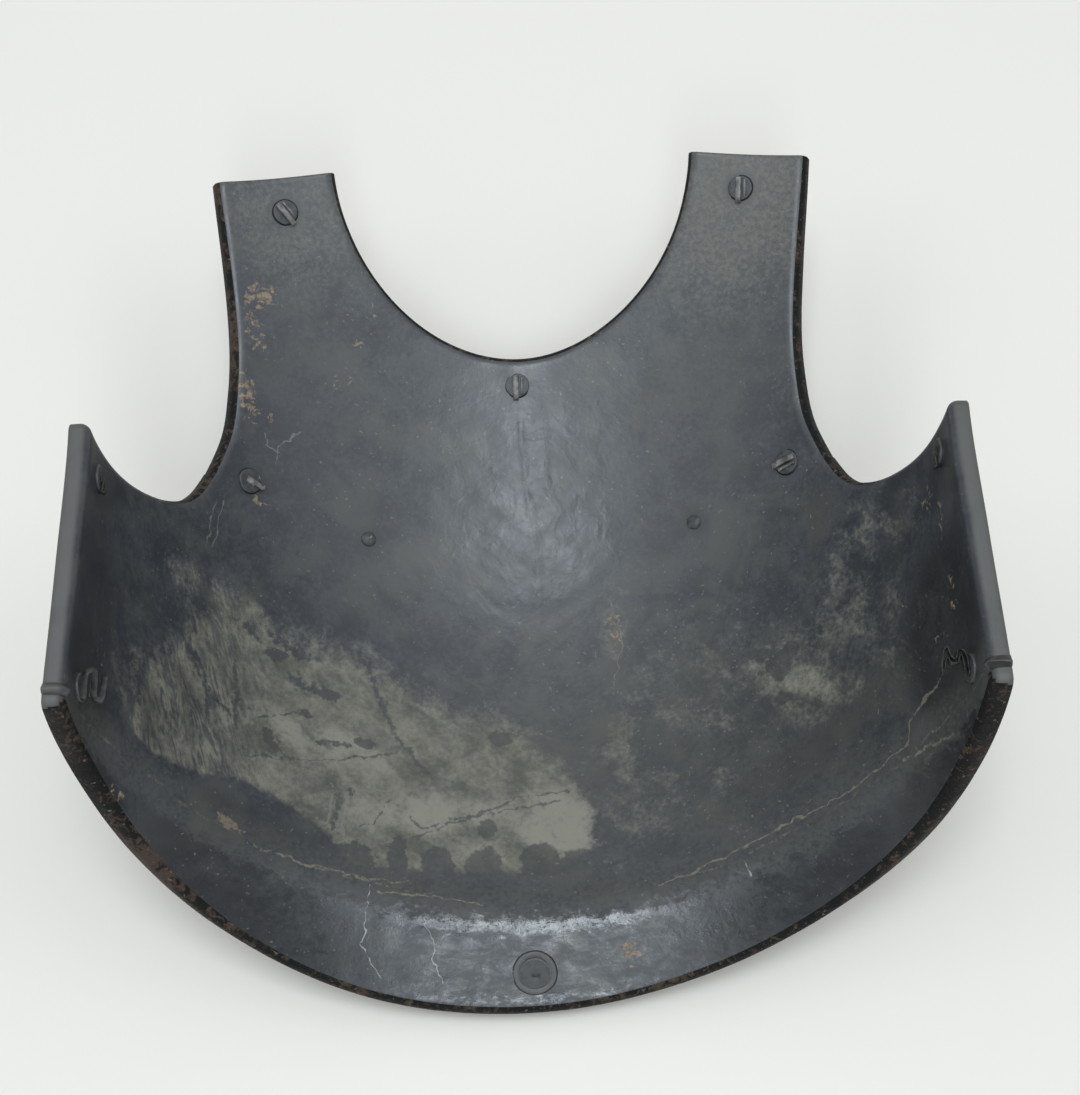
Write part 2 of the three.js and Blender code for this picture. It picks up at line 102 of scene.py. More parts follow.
def interpolant(rows, where):
    """The smooth curve through the rows of a table of (place, value)."""
    xs, ys = np.array(rows, float).T
    x = np.asarray(where, float)
    i = np.clip(np.searchsorted(xs, x, side="right") - 1, 0, len(xs) - 2)
    ghost_x = np.concatenate([[xs[1]], xs, [xs[-2]]])
    ghost_y = np.concatenate([[ys[1]], ys, [ys[-2]]])
    x0, x1 = xs[i], xs[i + 1]
    p = (x - x0) / (x1 - x0)
    before = (x1 - x0) / 2 / (x0 - ghost_x[i])
    after = (x1 - x0) / 2 / (ghost_x[i + 3] - x1)
    return (
        before * (-(p**3) + 2 * p**2 - p) * ghost_y[i]
        + ((1 + before) * p**3 - (1.5 + 2 * before) * p**2 - (0.5 - before) * p + 1) * ys[i]
        + (-(1 + after) * p**3 + (1.5 + after) * p**2 + 0.5 * p) * ys[i + 1]
        + after * (p**3 - p**2) * ghost_y[i + 3]
    )


def curve_through(points, count):
    """The Catmull-Rom curve through some points, as that many points."""
    p = np.array([points[0], *points, points[-1]], float)
    t = np.linspace(0, len(points) - 1, count)
    i = np.minimum(t.astype(int), len(points) - 2)
    w = (t - i)[:, None]
    p0, p1, p2, p3 = p[i], p[i + 1], p[i + 2], p[i + 3]
    bend, twist = 2 * p0 - 5 * p1 + 4 * p2 - p3, 3 * p1 - p0 - 3 * p2 + p3
    return p1 + 0.5 * ((p2 - p0) * w + bend * w**2 + twist * w**3)


def run_along(points):
    """The length run along a line at each of its points."""
    return np.concatenate([[0], np.cumsum(np.linalg.norm(np.diff(points, axis=0), axis=1))])


def evenly(points, parts):
    """Points spaced evenly along the curve through the given ones."""
    fine = curve_through(points, FINE_STEPS)
    run = run_along(fine)
    stops = np.linspace(0, run[-1], parts + 1)
    return np.stack([np.interp(stops, run, fine[:, 0]), np.interp(stops, run, fine[:, 1])], -1)


def unit(v):
    return v / np.linalg.norm(v, axis=-1, keepdims=True)


def face(turn, height, side):
    """Points of the hollow face, in the body frame: x sideways, y up the body, z out of the hollow."""
    angle = np.radians(turn)
    across = np.clip(np.sin(angle), 0, 1) ** (2 / SECTION_POWER)
    deep = np.clip(np.cos(angle), 0, 1) ** (2 / SECTION_POWER)
    soft = np.hypot(across, RIDGE_SOFTNESS) - RIDGE_SOFTNESS
    fall = interpolant(RIDGE, height) * ((1 - soft) ** 2 - 1)
    x = side * interpolant(HALF_WIDTH, height) * across
    return np.stack([x, height + 0 * x, -(interpolant(DEPTH, height) + fall) * deep], -1)


def face_axes(turn, height, side):
    """Unit vectors up the body, across it, and out of the domed side."""
    step = 0.4  # degrees, and millimetres
    up = unit(face(turn, height + step, side) - face(turn, height - step, side))
    after, before = np.minimum(turn + step, 90), np.maximum(turn - step, 0)
    across = face(after, height, side) - face(before, height, side)
    across = np.where((turn < step)[:, None], [1.0, 0.0, 0.0], across * side)
    out = unit(np.cross(up, across))
    return up, np.cross(out, up), out


FLAT_TURNS = np.linspace(0, 90, 181)
FLAT_RUN = run_along(face(FLAT_TURNS, FLAT_SECTION + 0 * FLAT_TURNS, 1))


def across_of(turn, side):
    return side * np.interp(turn, FLAT_TURNS, FLAT_RUN)


def level_of(turn):
    return np.clip(np.cos(np.radians(turn)), 0, 1)


def waist_height(turn):
    return WAIST["side"] - WAIST["dip"] * level_of(turn) ** WAIST["power"]


# ---------------------------------------------------------------- the sheet as grids

# Each vertex of a grid holds x, y, z, across, along, past (the fold of the rim) and below (the waist line).


def face_grid(turns, heights, side):
    points = face(turns, heights, side)
    below = waist_height(turns) - heights
    return np.concatenate(
        [points, np.stack([across_of(turns, side), heights, 0 * turns, below], -1)], -1
    )


def ruled(first, last, rows, side):
    share = np.linspace(0, 1, rows + 1)[:, None]
    turns = first[:, 0] * (1 - share) + last[:, 0] * share
    heights = first[:, 1] * (1 - share) + last[:, 1] * share
    return face_grid(turns, heights, side)


def neck_line(side, parts):
    middle = NECK["bottom"] + NECK["half_height"]
    sweep = math.acos((middle - SHOULDER_ENDS[side]["neck_side"]) / NECK["half_height"])
    angle = np.linspace(0, sweep, parts + 1)
    height = middle - NECK["half_height"] * np.cos(angle)
    share = NECK["half_width"] * np.sin(angle) / interpolant(HALF_WIDTH, height)
    return np.stack([np.degrees(np.arcsin(share ** (SECTION_POWER / 2))), height], -1)


def skirt_grid(turns, side):
    """The skirt below the waist: a rounded bend, then a straight flare."""
    level = level_of(turns)
    height = waist_height(turns)
    up, across, _ = face_axes(turns, height, side)
    start = face(turns, height, side)
    outward = unit(np.stack([across[:, 2], 0 * level, -across[:, 0]], -1))
    outward *= np.sign(np.sum(outward * start, -1, keepdims=True))
    flare = np.radians(SKIRT["flare"]) * level ** SKIRT["flare_power"]
    lean = -np.arcsin(np.sum(up * outward, -1))
    width = interpolant(SKIRT_WIDTHS, side * turns)
    step = (flare - lean) / BEND_STEPS
    bend_step = np.minimum(2 * SKIRT["bend"] * np.tan(step / 2), width * BEND_SHARE / BEND_STEPS)
    rest_step = (width - bend_step * BEND_STEPS) / SKIRT_STEPS
    angles = [lean + step * (i + 0.5) for i in range(BEND_STEPS)] + [flare] * SKIRT_STEPS
    steps = [bend_step] * BEND_STEPS + [rest_step] * SKIRT_STEPS
    point, run = start, 0 * width
    rows = []
    for angle, length in zip([lean, *angles], [0 * width, *steps]):
        heading = outward * np.sin(angle)[:, None] - [0, 1, 0] * np.cos(angle)[:, None]
        point = point + heading * length[:, None]
        run = run + length
        extra = np.stack([across_of(turns, side), height - run, 0 * run, run], -1)
        rows.append(np.concatenate([point, extra], -1))
    return np.array(rows)


def edge_frames(edge, inner, starts_on_middle=False, ends_on_middle=False):
    """Along an edge: its vertices, and the ways off it, out of the domed side, and off it when flattened."""
    after = np.concatenate([edge[1:], edge[-1:]])[:, :3]
    before = np.concatenate([edge[:1], edge[:-1]])[:, :3]
    tangent = unit(after - before)
    if starts_on_middle:
        tangent[0] = [np.sign(tangent[0, 0]), 0, 0]
    if ends_on_middle:
        tangent[-1] = [np.sign(tangent[-1, 0]), 0, 0]
    off = edge[:, :3] - inner[:, :3]
    off = unit(off - tangent * np.sum(off * tangent, -1, keepdims=True))
    out = unit(np.cross(tangent, off))
    outside = np.stack([edge[:, 0], 0 * edge[:, 0], edge[:, 2] + BODY_AXIS], -1)
    out *= np.sign(np.sum(out * outside, -1, keepdims=True))
    flat = unit(edge[:, 3:5] - inner[:, 3:5])
    return {"edge": edge, "off": off, "out": out, "flat": flat}


def corner_frames(first, last):
    """Frames that carry the rim round the corner between two edges."""
    share = (np.arange(1, CORNER_STEPS) / CORNER_STEPS)[:, None]
    out = unit(first["out"][-1] * (1 - share) + last["out"][0] * share)
    quarter = share * math.pi / 2
    off = first["off"][-1] * np.cos(quarter) + last["off"][0] * np.sin(quarter)
    off = unit(off - out * np.sum(off * out, -1, keepdims=True))
    flat = unit(first["flat"][-1] * np.cos(quarter) + last["flat"][0] * np.sin(quarter))
    return {"edge": np.repeat(first["edge"][-1:], len(share), 0), "off": off, "out": out, "flat": flat}


def rim_grid(frames):
    """A quarter bend away from the hollow, then straight to the rim's height."""
    bends = [(i / RIM_BEND_STEPS) * math.pi / 2 for i in range(RIM_BEND_STEPS + 1)]
    profile = [(RIM["bend"] * math.sin(a), RIM["bend"] * (1 - math.cos(a)), RIM["bend"] * a) for a in bends]
    for i in range(1, RIM_STEPS + 1):
        rise = (RIM["height"] - RIM["bend"]) * i / RIM_STEPS
        profile.append((RIM["bend"], RIM["bend"] + rise, RIM["bend"] * math.pi / 2 + rise))
    rows = []
    for along, rise, run in profile:
        row = frames["edge"].copy()
        row[:, :3] += frames["off"] * along + frames["out"] * rise
        row[:, 3:5] += frames["flat"] * run
        row[:, 5] = run
        rows.append(row)
    return np.array(rows)


def joined(*frames):
    return {key: np.concatenate([f[key] for f in frames]) for key in frames[0]}


def half_sheet(side):
    """The grids of one half of the hollow face, and those of its rims."""
    spread = np.linspace(0, 1, CHEST_COLUMNS + 1) ** MIDDLE_CROWDING
    chest = np.stack([CHEST[0] * spread, 0 * spread + CHEST[1]], -1)
    ends = SHOULDER_ENDS[side]
    upper = evenly([CHEST, *ARMHOLE_UPPER, (SHOULDER_TURN, ends["arm_side"])], ARM_COLUMNS)
    neck = neck_line(side, FINE_STEPS)
    run = run_along(neck)
    columns = np.concatenate([spread * 0.5, 0.5 + 0.5 * np.linspace(0, 1, ARM_COLUMNS + 1)[1:]])
    neck = np.stack([np.interp(columns * run[-1], run, neck[:, k]) for k in (0, 1)], -1)
    yoke = ruled(neck, np.concatenate([chest, upper[1:]]), YOKE_ROWS, side)
    top = np.concatenate([chest, evenly([CHEST, *ARMHOLE_LOWER], ARM_COLUMNS)[1:]])
    waist = np.stack([top[:, 0], waist_height(top[:, 0])], -1)
    body = ruled(waist, top, BODY_ROWS, side)
    skirt = skirt_grid(top[:, 0], side)

    neck_rim = edge_frames(yoke[0], yoke[1], starts_on_middle=True)
    arm = []
    for row in (-1, -2):
        arm.append(np.concatenate([yoke[row, CHEST_COLUMNS:][::-1], body[row, CHEST_COLUMNS + 1 :]]))
    flank = [np.concatenate([body[::-1, column], skirt[1:, column]]) for column in (-1, -2)]
    arm_rim, flank_rim = edge_frames(*arm), edge_frames(*flank)
    hem_rim = edge_frames(skirt[-1, ::-1], skirt[-2, ::-1], ends_on_middle=True)
    outer_rim = joined(
        arm_rim, corner_frames(arm_rim, flank_rim), flank_rim, corner_frames(flank_rim, hem_rim), hem_rim
    )
    return [yoke, body[::-1], skirt], [rim_grid(neck_rim), rim_grid(outer_rim)]


def grid_faces(rows, columns, first, flip):
    r, c = np.meshgrid(np.arange(rows - 1), np.arange(columns - 1), indexing="ij")
    at = (first + r * columns + c).ravel()
    corners = np.stack([at, at + columns, at + columns + 1, at + 1], -1)
    return corners[:, ::-1] if flip else corners


def whole_sheet():
    """The vertices of the hollow face with their channels, and its faces, fronting the hollow."""
    vertices, faces = [], []
    count = 0
    for side in (1, -1):
        inside, rims = half_sheet(side)
        for grid, flip in [(g, side < 0) for g in inside] + [(g, side > 0) for g in rims]:
            rows, columns = grid.shape[:2]
            vertices.append(grid.reshape(-1, 7))
            faces.append(grid_faces(rows, columns, count, flip))
            count += rows * columns
    vertices, faces = np.concatenate(vertices), np.concatenate(faces)
    _, keep, index = np.unique(np.round(vertices[:, :3], 3), axis=0, return_index=True, return_inverse=True)
    faces = index.ravel()[faces]
    cleaned = []
    for quad in faces:
        corners = [v for i, v in enumerate(quad) if v != quad[i - 1]]
        if len(set(corners)) == len(corners) >= 3:
            cleaned.append(tuple(int(v) for v in corners))
    return vertices[keep], cleaned


def vertex_normals(points, faces):
    normals = np.zeros_like(points)
    for size in (3, 4):
        group = np.array([f for f in faces if len(f) == size])
        if len(group):
            a, b, c = points[group[:, 0]], points[group[:, 1]], points[group[:, -1]]
            across = np.cross(b - a, c - a) if size == 3 else np.cross(points[group[:, 2]] - a, c - b)
            for corner in range(size):
                np.add.at(normals, group[:, corner], across)
    return unit(normals)


def to_part_frame(points):
    """Pitches the body frame to the lying pose."""
    pitch = math.radians(REST_PITCH)
    x, y, z = points[..., 0], points[..., 1], points[..., 2]
    level, rise = math.cos(pitch), math.sin(pitch)
    return np.stack([x, y * level + z * rise, z * level - y * rise], -1)


# ---------------------------------------------------------------- marks, in flattened millimetres

# Outlines of the dusty films that dried in the belly, and how strong each is.
DUST_OUTLINES = [
    (
        1.0,
        [
            (-168, 94), (-139, 100), (-124, 90), (-110, 85), (-86, 86), (-68, 77), (-52, 68), (-42, 58),
            (-19, 55), (-4, 49), (22, 17), (31, 2), (28, -18), (13, -29), (-86, -26), (-94, -12),
            (-109, -3), (-127, 5), (-144, 8), (-166, 5), (-194, 5), (-212, 14), (-200, 48), (-188, 65),
        ],
    ),
    (
        0.72,
        [
            (107, 68), (118, 44), (124, 32), (140, 29), (152, 34), (168, 38), (176, 44), (171, 51),
            (152, 60), (138, 71), (118, 72),
        ],
    ),
]
# Soft patches: across, along, half length, half width, turned anticlockwise by, strength.
DUST = [
    (-205, 34, 30, 22, 0, 0.4),
    (-176, 84, 30, 16, -60, 0.45),
    (170, 78, 52, 22, 60, 0.45),
    (190, 60, 30, 22, 0, 0.35),
    (96, 62, 60, 40, 0, 0.3),
    (46, 34, 10, 22, 0, 0.62),
    (65, 14, 9, 7, 0, 0.5),
    (93, 11, 9, 7, 0, 0.42),
    (46, 96, 9, 26, 4, 0.34),
    (40, 0, 60, 26, 0, 0.3),
    (200, 96, 24, 34, 0, 0.3),
]
# Where the dust lies thickest.
PALE = [
    (14, -4, 15, 15, 0, 0.62),
    (-42, 2, 34, 9, 0, 0.25),
    (-105, 36, 36, 8, -10, 0.22),
]
# Where the varnish is blackest, partly painted shade on the side walls and the skirt's sides.
BLACKEST_AND_SHADE = [
    (240, 34, 36, 38, 0, 1.15),
    (218, -24, 46, 20, 24, 1.15),
    (84, -46, 26, 11, 14, 0.55),
    (-252, 46, 26, 46, 0, 0.55),
    (-224, -24, 40, 16, -30, 0.7),
    (-130, -52, 70, 26, -22, 0.85),
    (-256, 14, 26, 30, 0, 0.9),
    (120, -52, 62, 24, 20, 0.85),
    (-128, -14, 46, 10, -12, 0.5),
    (128, 10, 46, 12, 20, 0.45),
]
# Where a thin brown haze dulls the varnish.
HAZE = [
    (60, 24, 190, 62, 0, 0.6),
    (0, -36, 150, 12, 0, 0.45),
    (-230, 40, 40, 60, 0, 0.25),
    (96, 250, 50, 90, 0, 0.35),
    (-96, 290, 50, 60, 0, 0.4),
]
# Where the varnish has rubbed to grey.
WORN = [
    (110, 282, 46, 40, 0, 0.8),
    (-106, 286, 40, 30, 0, 0.55),
    (150, 222, 30, 60, 0, 0.25),
]
# Fields of tan flecks.
FLECKS = [
    (-126, 248, 12, 8, 20, 1.0),
    (-130, 230, 8, 14, 0, 0.8),
    (-138, 200, 7, 16, 0, 0.9),
    (-128, 192, 9, 4, 0, 0.8),
    (-68, 250, 5, 7, 0, 0.7),
    (-74, 236, 7, 4, 20, 0.75),
    (-86, 218, 12, 6, 30, 0.6),
    (-101, 213, 5, 4, 0, 0.6),
    (-138, 150, 8, 3, -10, 0.95),
    (-146, -15, 9, 5, -30, 1.0),
    (-213, -18, 7, 5, -20, 0.8),
    (240, 98, 10, 12, 0, 0.7),
    (250, 84, 7, 12, 0, 0.8),
    (250, 48, 8, 14, 0, 0.75),
    (230, 38, 10, 9, 0, 0.6),
    (200, 66, 20, 12, 0, 0.45),
    (44, 98, 6, 20, 0, 0.7),
    (42, -68, 6, 9, 10, 0.9),
    (6, -23, 8, 4, 0, 0.6),
    (-236, 34, 12, 14, 0, 0.5),
    (-262, 70, 8, 40, 0, 0.4),
]
# Dark drops: across, along, half length, half width.
DROPS = [
    (-79, 37, 5.0, 3.2),
    (-13, 43, 5.8, 4.2),
    (-20, -5, 4.0, 6.5),
    (-22, -24, 9.5, 11.5),
    (-43, -25, 8.0, 10.5),
    (-62, -22, 4.6, 12.0),
    (4, -26, 9.0, 13.0),
    (24, -28, 11.0, 11.0),
    (-84, -24, 12.0, 9.0),
    (128, 62, 8.6, 7.6),
    (135, 68, 4.6, 4.4),
    (119, 70, 10.0, 3.0),
    (128, 45, 5.2, 3.6),
    (62, 35, 13.0, 12.0),
    (-126, 75, 6.0, 3.4),
    (-109, 48, 3.0, 1.5),
    (-98, 60, 6.0, 2.6),
    (-85, 11, 2.4, 2.0),
]
# Lines: tone, half width, then the points across, along.
LINES = [
    ("dark", 1.2, [(-79, 80), (-68, 52), (-60, 37), (-48, 24)]),
    ("dark", 0.5, [(-140, 21), (-101, 25), (-63, 34)]),
    ("dark", 0.5, [(-134, 41), (-108, 50)]),
    ("dark", 0.6, [(-55, -11), (-28, 1), (-6, 11), (18, 14)]),
    ("dark", 0.5, [(-81, -7), (-74, -4), (-66, 9)]),
    ("dark", 0.7, [(-58, 2), (-51, -5), (-43, -3)]),
    ("dark", 1.4, [(-148, 66), (-146, 46), (-146, 33)]),
    ("dark", 1.3, [(-185, 72), (-166, 55), (-160, 32)]),
    ("dark", 1.0, [(-175, 59), (-149, 37)]),
    ("dark", 2.4, [(-131, 85), (-109, 78)]),
    ("dark", 2.4, [(-116, 64), (-95, 59)]),
    ("dark", 1.4, [(-101, 34), (-87, 35)]),
    ("dark", 1.8, [(-128, 34), (-123, 26)]),
    ("dark", 2.0, [(-145, 86), (-137, 81)]),
    ("dark", 1.1, [(-90, 9), (-92, -9)]),
    ("pale", 0.45, [(-64, 14), (-84, 12), (-84, 7), (-80, 1), (-81, -7)]),
    ("pale", 0.5, [(-93, 9), (-96, -8)]),
    ("pale", 0.5, [(-87, 10), (-88, -11)]),
    ("bright", 0.22, [(-74, -36), (-75, -47), (-75, -62), (-71, -70), (-66, -77)]),
    ("bright", 0.15, [(-49, -50), (-45, -60), (-44, -69), (-40, -80)]),
    ("bright", 0.5, [(99, -33), (101, -40)]),
    ("pale", 0.25, [(-130, 184), (-127, 178), (-122, 176)]),
    ("pale", 0.25, [(-109, 189), (-122, 178), (-124, 171)]),
    ("pale", 0.22, [(43, 114), (47, 103), (48, 87), (42, 66)]),
    ("pale", 0.22, [(-162, 141), (-169, 117)]),
    ("pale", 0.22, [(-157, 143), (-165, 117)]),
    ("dark", 0.6, [(-37, 0), (14, 9)]),
    # Painted shade along the grooves where the ridge was creased.
    ("painted_groove_shade", 0.5, [(1, 204), (2, 186), (4, 166), (7, 142), (7, 118)]),
    ("painted_groove_shade", 0.3, [(11, 212), (13, 197), (13, 182)]),
    ("tan", 0.5, [(-118, -26), (-92, -30), (-73, -34), (-56, -33)]),
    ("tan", 0.35, [(-70, -39), (-40, -41), (-24, -44)]),
    ("tan", 0.6, [(226, 18), (198, 9), (196, 0)]),
    ("tan", 0.7, [(227, -8), (191, -7)]),
    ("tan", 0.35, [(196, 0), (151, -12), (119, -19), (72, -35), (58, -39)]),
]


def patch(across, along, rows):
    """The strongest of some soft patches at each place."""
    total = np.zeros_like(across)
    for x, y, long, wide, angle, strength in rows:
        a = math.radians(angle)
        u = ((across - x) * math.cos(a) + (along - y) * math.sin(a)) / long
        v = ((along - y) * math.cos(a) - (across - x) * math.sin(a)) / wide
        total = np.maximum(total, strength * np.clip(1.6 - 1.1 * np.hypot(u, v), 0, 1))
    return total


def noise_at(points, size, seed=0.0):
    """Smooth noise from -1 to 1 with features of a given size in millimetres."""
    return np.array([noise.noise(Vector(p) / size + Vector((seed, 0, 0))) for p in points])


def smooth(edge, full, value):
    t = np.clip((value - edge) / (full - edge), 0, 1)
    return t * t * (3 - 2 * t)


# Grooves where the ridge was creased: polylines across, along, then half width and depth.
GROOVES = [
    ([(1, 204), (2, 186), (4, 166), (7, 142), (7, 100)], 1.1, 0.28),
    ([(11, 212), (13, 197), (13, 176)], 0.9, 0.2),
]


NO_RISE = 1e-9  # stands for the rise of a level line, so that nothing is divided by 0
# How far the film's edge fades, crisp at the belly's bottom and softer above the heights given.
FILM_EDGE = {"crisp": 2.2, "softer": 12, "from": 12, "to": 60, "slant": 0.12}


def film(across, along):
    """The dust at each place, 0.5 on an outline."""
    level = along + FILM_EDGE["slant"] * across
    soft = FILM_EDGE["crisp"] + FILM_EDGE["softer"] * smooth(FILM_EDGE["from"], FILM_EDGE["to"], level)
    total = patch(across, along, DUST)
    for strength, outline in DUST_OUTLINES:
        closed = [*outline, outline[0]]
        inside = np.zeros(len(across), bool)
        for (x0, y0), (x1, y1) in zip(closed, closed[1:]):
            crosses = (y0 > along) != (y1 > along)
            reach = x0 + (along - y0) * (x1 - x0) / ((y1 - y0) or NO_RISE)
            inside ^= crosses & (across < reach)
        distance = line_distance(across, along, closed) * np.where(inside, 1, -1)
        total = np.maximum(total, strength * np.clip(0.5 + distance / (2 * soft), 0, 1))
    return total


def line_distance(across, along, points):
    nearest = np.full_like(across, np.inf)
    for (x0, y0), (x1, y1) in zip(points, points[1:]):
        dx, dy = x1 - x0, y1 - y0
        t = np.clip(((across - x0) * dx + (along - y0) * dy) / (dx * dx + dy * dy), 0, 1)
        nearest = np.minimum(nearest, np.hypot(across - x0 - t * dx, along - y0 - t * dy))
    return nearest


# Noise that the hammer left: height, size of a dent, seed.
BROAD_DENTS = [(0.38, 46, 0.0), (0.14, 17, 5.0)]
CHEST_DENTS = [(0.4, 13, 13.0)]
CHEST_BARBS = [(0.45, 7, 9.0), (0.16, 3.6, 17.0)]  # long dents that run down and away from the middle line
BARB_LINE = 6  # how far across the line lies that they run away from
BARB_SLOPE = {"across": 0.45, "along": 0.7}
CHEST_DEPTH = 0.62
# Where the hammer worked hardest, and where it wrinkled the varnish: across, along, half width, half length.
CHEST_SPOT = (8, 150, 52, 66)
SHINE_SPOT = (8, 150, 46, 60)
LUMPS = {"spot": (190, -2, 34, 12), "height": 0.9, "size": 11, "seed": 21.0}
BEATEN_SKIRT = {"from": -34, "to": -44, "half_width": 90, "height": 0.22, "size": 8, "seed": 25.0}
CALM_RIM = 6  # how far past the fold of a rim the hammering fades


def dents(points, rows):
    return sum(height * noise_at(points, size, seed) for height, size, seed in rows)


def bump_round(across, along, spot):
    """1 at the middle of a spot, falling to nothing round it."""
    x, y, wide, long = spot
    return np.exp(-(((across - x) / wide) ** 2) - ((along - y) / long) ** 2)


def hammered(points, across, along, past):
    """Millimetres that the hammer pushed the sheet out of true, positive into the hollow."""
    calm = 1 - smooth(0, CALM_RIM, past)
    aside = np.abs(across - BARB_LINE)
    barbs = np.stack([aside * BARB_SLOPE["across"], along - BARB_SLOPE["along"] * aside, 0 * along], -1)
    chest = CHEST_DEPTH * bump_round(across, along, CHEST_SPOT) * calm
    relief = dents(points, BROAD_DENTS) * (0.5 + 0.5 * calm)
    relief += chest * (dents(barbs, CHEST_BARBS) + dents(points, CHEST_DENTS))
    for line, half_width, depth in GROOVES:
        relief -= depth * np.exp(-((line_distance(across, along, line) / half_width) ** 2))
    lumpy = LUMPS["height"] * bump_round(across, along, LUMPS["spot"])
    relief += lumpy * noise_at(points, LUMPS["size"], LUMPS["seed"])
    skirt = smooth(BEATEN_SKIRT["from"], BEATEN_SKIRT["to"], along) * calm
    beaten = BEATEN_SKIRT["height"] * np.exp(-((across / BEATEN_SKIRT["half_width"]) ** 2)) * skirt
    return relief + beaten * noise_at(points, BEATEN_SKIRT["size"], BEATEN_SKIRT["seed"])


# ---------------------------------------------------------------- fastenings

STUD = {"head": 7, "head_height": 3.4, "disc": 6, "top": 1.3}
CHEST_RIVET = {"head": 6, "head_height": 3, "disc": 3.7, "top": 2.0}
WAIST_RIVET = {"head": 7, "head_height": 3, "disc": 7, "top": 1.5}
WAIST_WASHER = {"inner": 7.4, "outer": 10, "top": 0.8}
WAIST_RIVET_PLACE = 33
LOW_DIRT_AND_SHADE = {"stud": 0.75, "pin": 1.5, "rivet": 0.35}  # how high above the plate black dirt and painted shade cover each piece

# Folded legs of the split pins: the line followed along the plate and up from it, how thick the strip is in
# the plane of that line, how wide it is across it, and how far it lies to one side.
PIN_LEGS = {
    "straight": [
        {
            "line": [(-5.2, 1.7), (-3, 2.1), (3, 2.3), (5.6, 2.1), (7.0, 1.4)],
            "tall": 1.5, "wide": 2.9, "aside": -0.7,
        },
        {
            "line": [(-4.4, 1.5), (-2, 1.7), (3.4, 1.7), (4.8, 1.3)],
            "tall": 0.8, "wide": 1.3, "aside": 2.3,
        },
    ],
    "short": [
        {
            "line": [(-0.6, 1.2), (1.4, 2.1), (4.6, 2.0), (6.6, 1.9), (7.4, 3.2)],
            "tall": 1.2, "wide": 2.6, "aside": 0,
        },
        {
            "line": [(-2.2, 1.3), (0.4, 1.5), (2.4, 1.4)],
            "tall": 0.9, "wide": 3.8, "aside": 0,
        },
    ],
    "curled": [
        {
            "line": [
                (-3, 1.6), (4, 1.6), (7.6, 2.9), (7.4, 5.0), (3.9, 6.4),
                (4.6, 8.2), (8.9, 9.2), (7.2, 11.0), (2.2, 12.4), (-3.2, 13.0),
            ],
            "tall": 0.9, "wide": 3.3, "aside": 0,
        },
        {
            "line": [
                (-1.4, 3.3), (2.6, 3.2), (5.6, 3.6), (5.3, 4.6), (2.2, 5.6),
                (2.4, 8.4), (4.6, 9.4), (3.0, 10.6), (0.4, 11.2),
            ],
            "tall": 0.8, "wide": 2.9, "aside": 0.5,
        },
    ],
    "doubled": [
        {
            "line": [
                (-5.6, 2.4), (3.8, 2.2), (6.6, 3.2), (6.4, 5.6), (3.2, 6.4),
                (-3.8, 6.6), (-6.2, 8.2), (-4.8, 10.0), (4.2, 10.4),
            ],
            "tall": 2.9, "wide": 1.5, "aside": 0.6,
        },
        {
            "line": [(-4.2, 4.2), (2.2, 4.4)],
            "tall": 1.0, "wide": 1.3, "aside": -1.0,
        },
    ],
}

# Name, side, turn, height, the legs of its pin, and where they point in degrees.
STUDS = [
    ("shoulder_left", -1, 34, 288, "straight", -143),
    ("shoulder_right", 1, 34.2, 293.5, "straight", 180),
    ("neck", 1, 0, 221, "straight", 180),
    ("chest_left", -1, 44.6, 157.5, "short", -120),
    ("chest_right", 1, 44, 160, "straight", 110),
    ("wing_top_left", -1, 85.3, 106.5, "short", 180),
    ("wing_top_right", 1, 84.5, 109.5, "short", 180),
    ("wing_bottom_left", -1, 85, 11, "doubled", 0),
    ("wing_bottom_right", 1, 84, 9.5, "curled", 0),
]
CHEST_RIVETS = [("chest_rivet_left", -1, 23.6, 143), ("chest_rivet_right", 1, 27, 145)]
GRIME_AND_SHADE_REACH = {"wing": 19, "other": 12}  # how far dirt and painted shade reach from the middle of a fastening
SUNK = -0.8  # how deep under the hollow face a fastening's inner end starts


# ---------------------------------------------------------------- the shell

# The rounded cut edge: share of the thickness, share of LIP, how much it belongs to the hollow side.
LIP_RINGS = [(0.14, 0.62, 0.8), (0.5, 1.0, 0.5), (0.86, 0.62, 0.2)]
LIP_BORDER = 0.7  # how worn the two corners beside the cut edge are, its own being 1
FLANK_FROM = (278, 281)  # across, where the side edges' rims start
# Where the polish and painted highlight lie along the waist's bend.
POLISH_AND_HIGHLIGHT_BEND = {"below": 13, "half_width": 5}
HEM_FROM = (40, 47)  # below the waist, where the polish and painted highlight along the hem start
HEM_FOLD = (0, 2)  # past the fold, where they fade out
LEFT_FROM = (-60, -180)
MARK_MARGIN = 8  # how far from a drawn mark its material still reaches
SCALE_START = {"hem": 0.5, "elsewhere": 3.0}  # past the fold
OUTSIDE, INSIDE, MARKED, EDGE = range(4)  # the shell's material slots


def boundary_edges(faces):
    """Directed edges that only one face has."""
    once = {}
    for corners in faces:
        for a, b in zip(corners, corners[1:] + corners[:1]):
            if (b, a) in once:
                del once[(b, a)]
            else:
                once[(a, b)] = True
    return list(once)


def grime_and_shade(points):
    """Dirt and painted shade round each fastening, 1 at its middle and 0 some way off."""
    total = np.zeros(len(points))
    for name, side, turn, height, *_ in [*STUDS, *CHEST_RIVETS]:
        spot = face(np.array([float(turn)]), np.array([float(height)]), side)[0]
        reach = GRIME_AND_SHADE_REACH["wing" if "wing" in name else "other"]
        total = np.maximum(total, 1 - np.linalg.norm(points - spot, axis=-1) / reach)
    return total


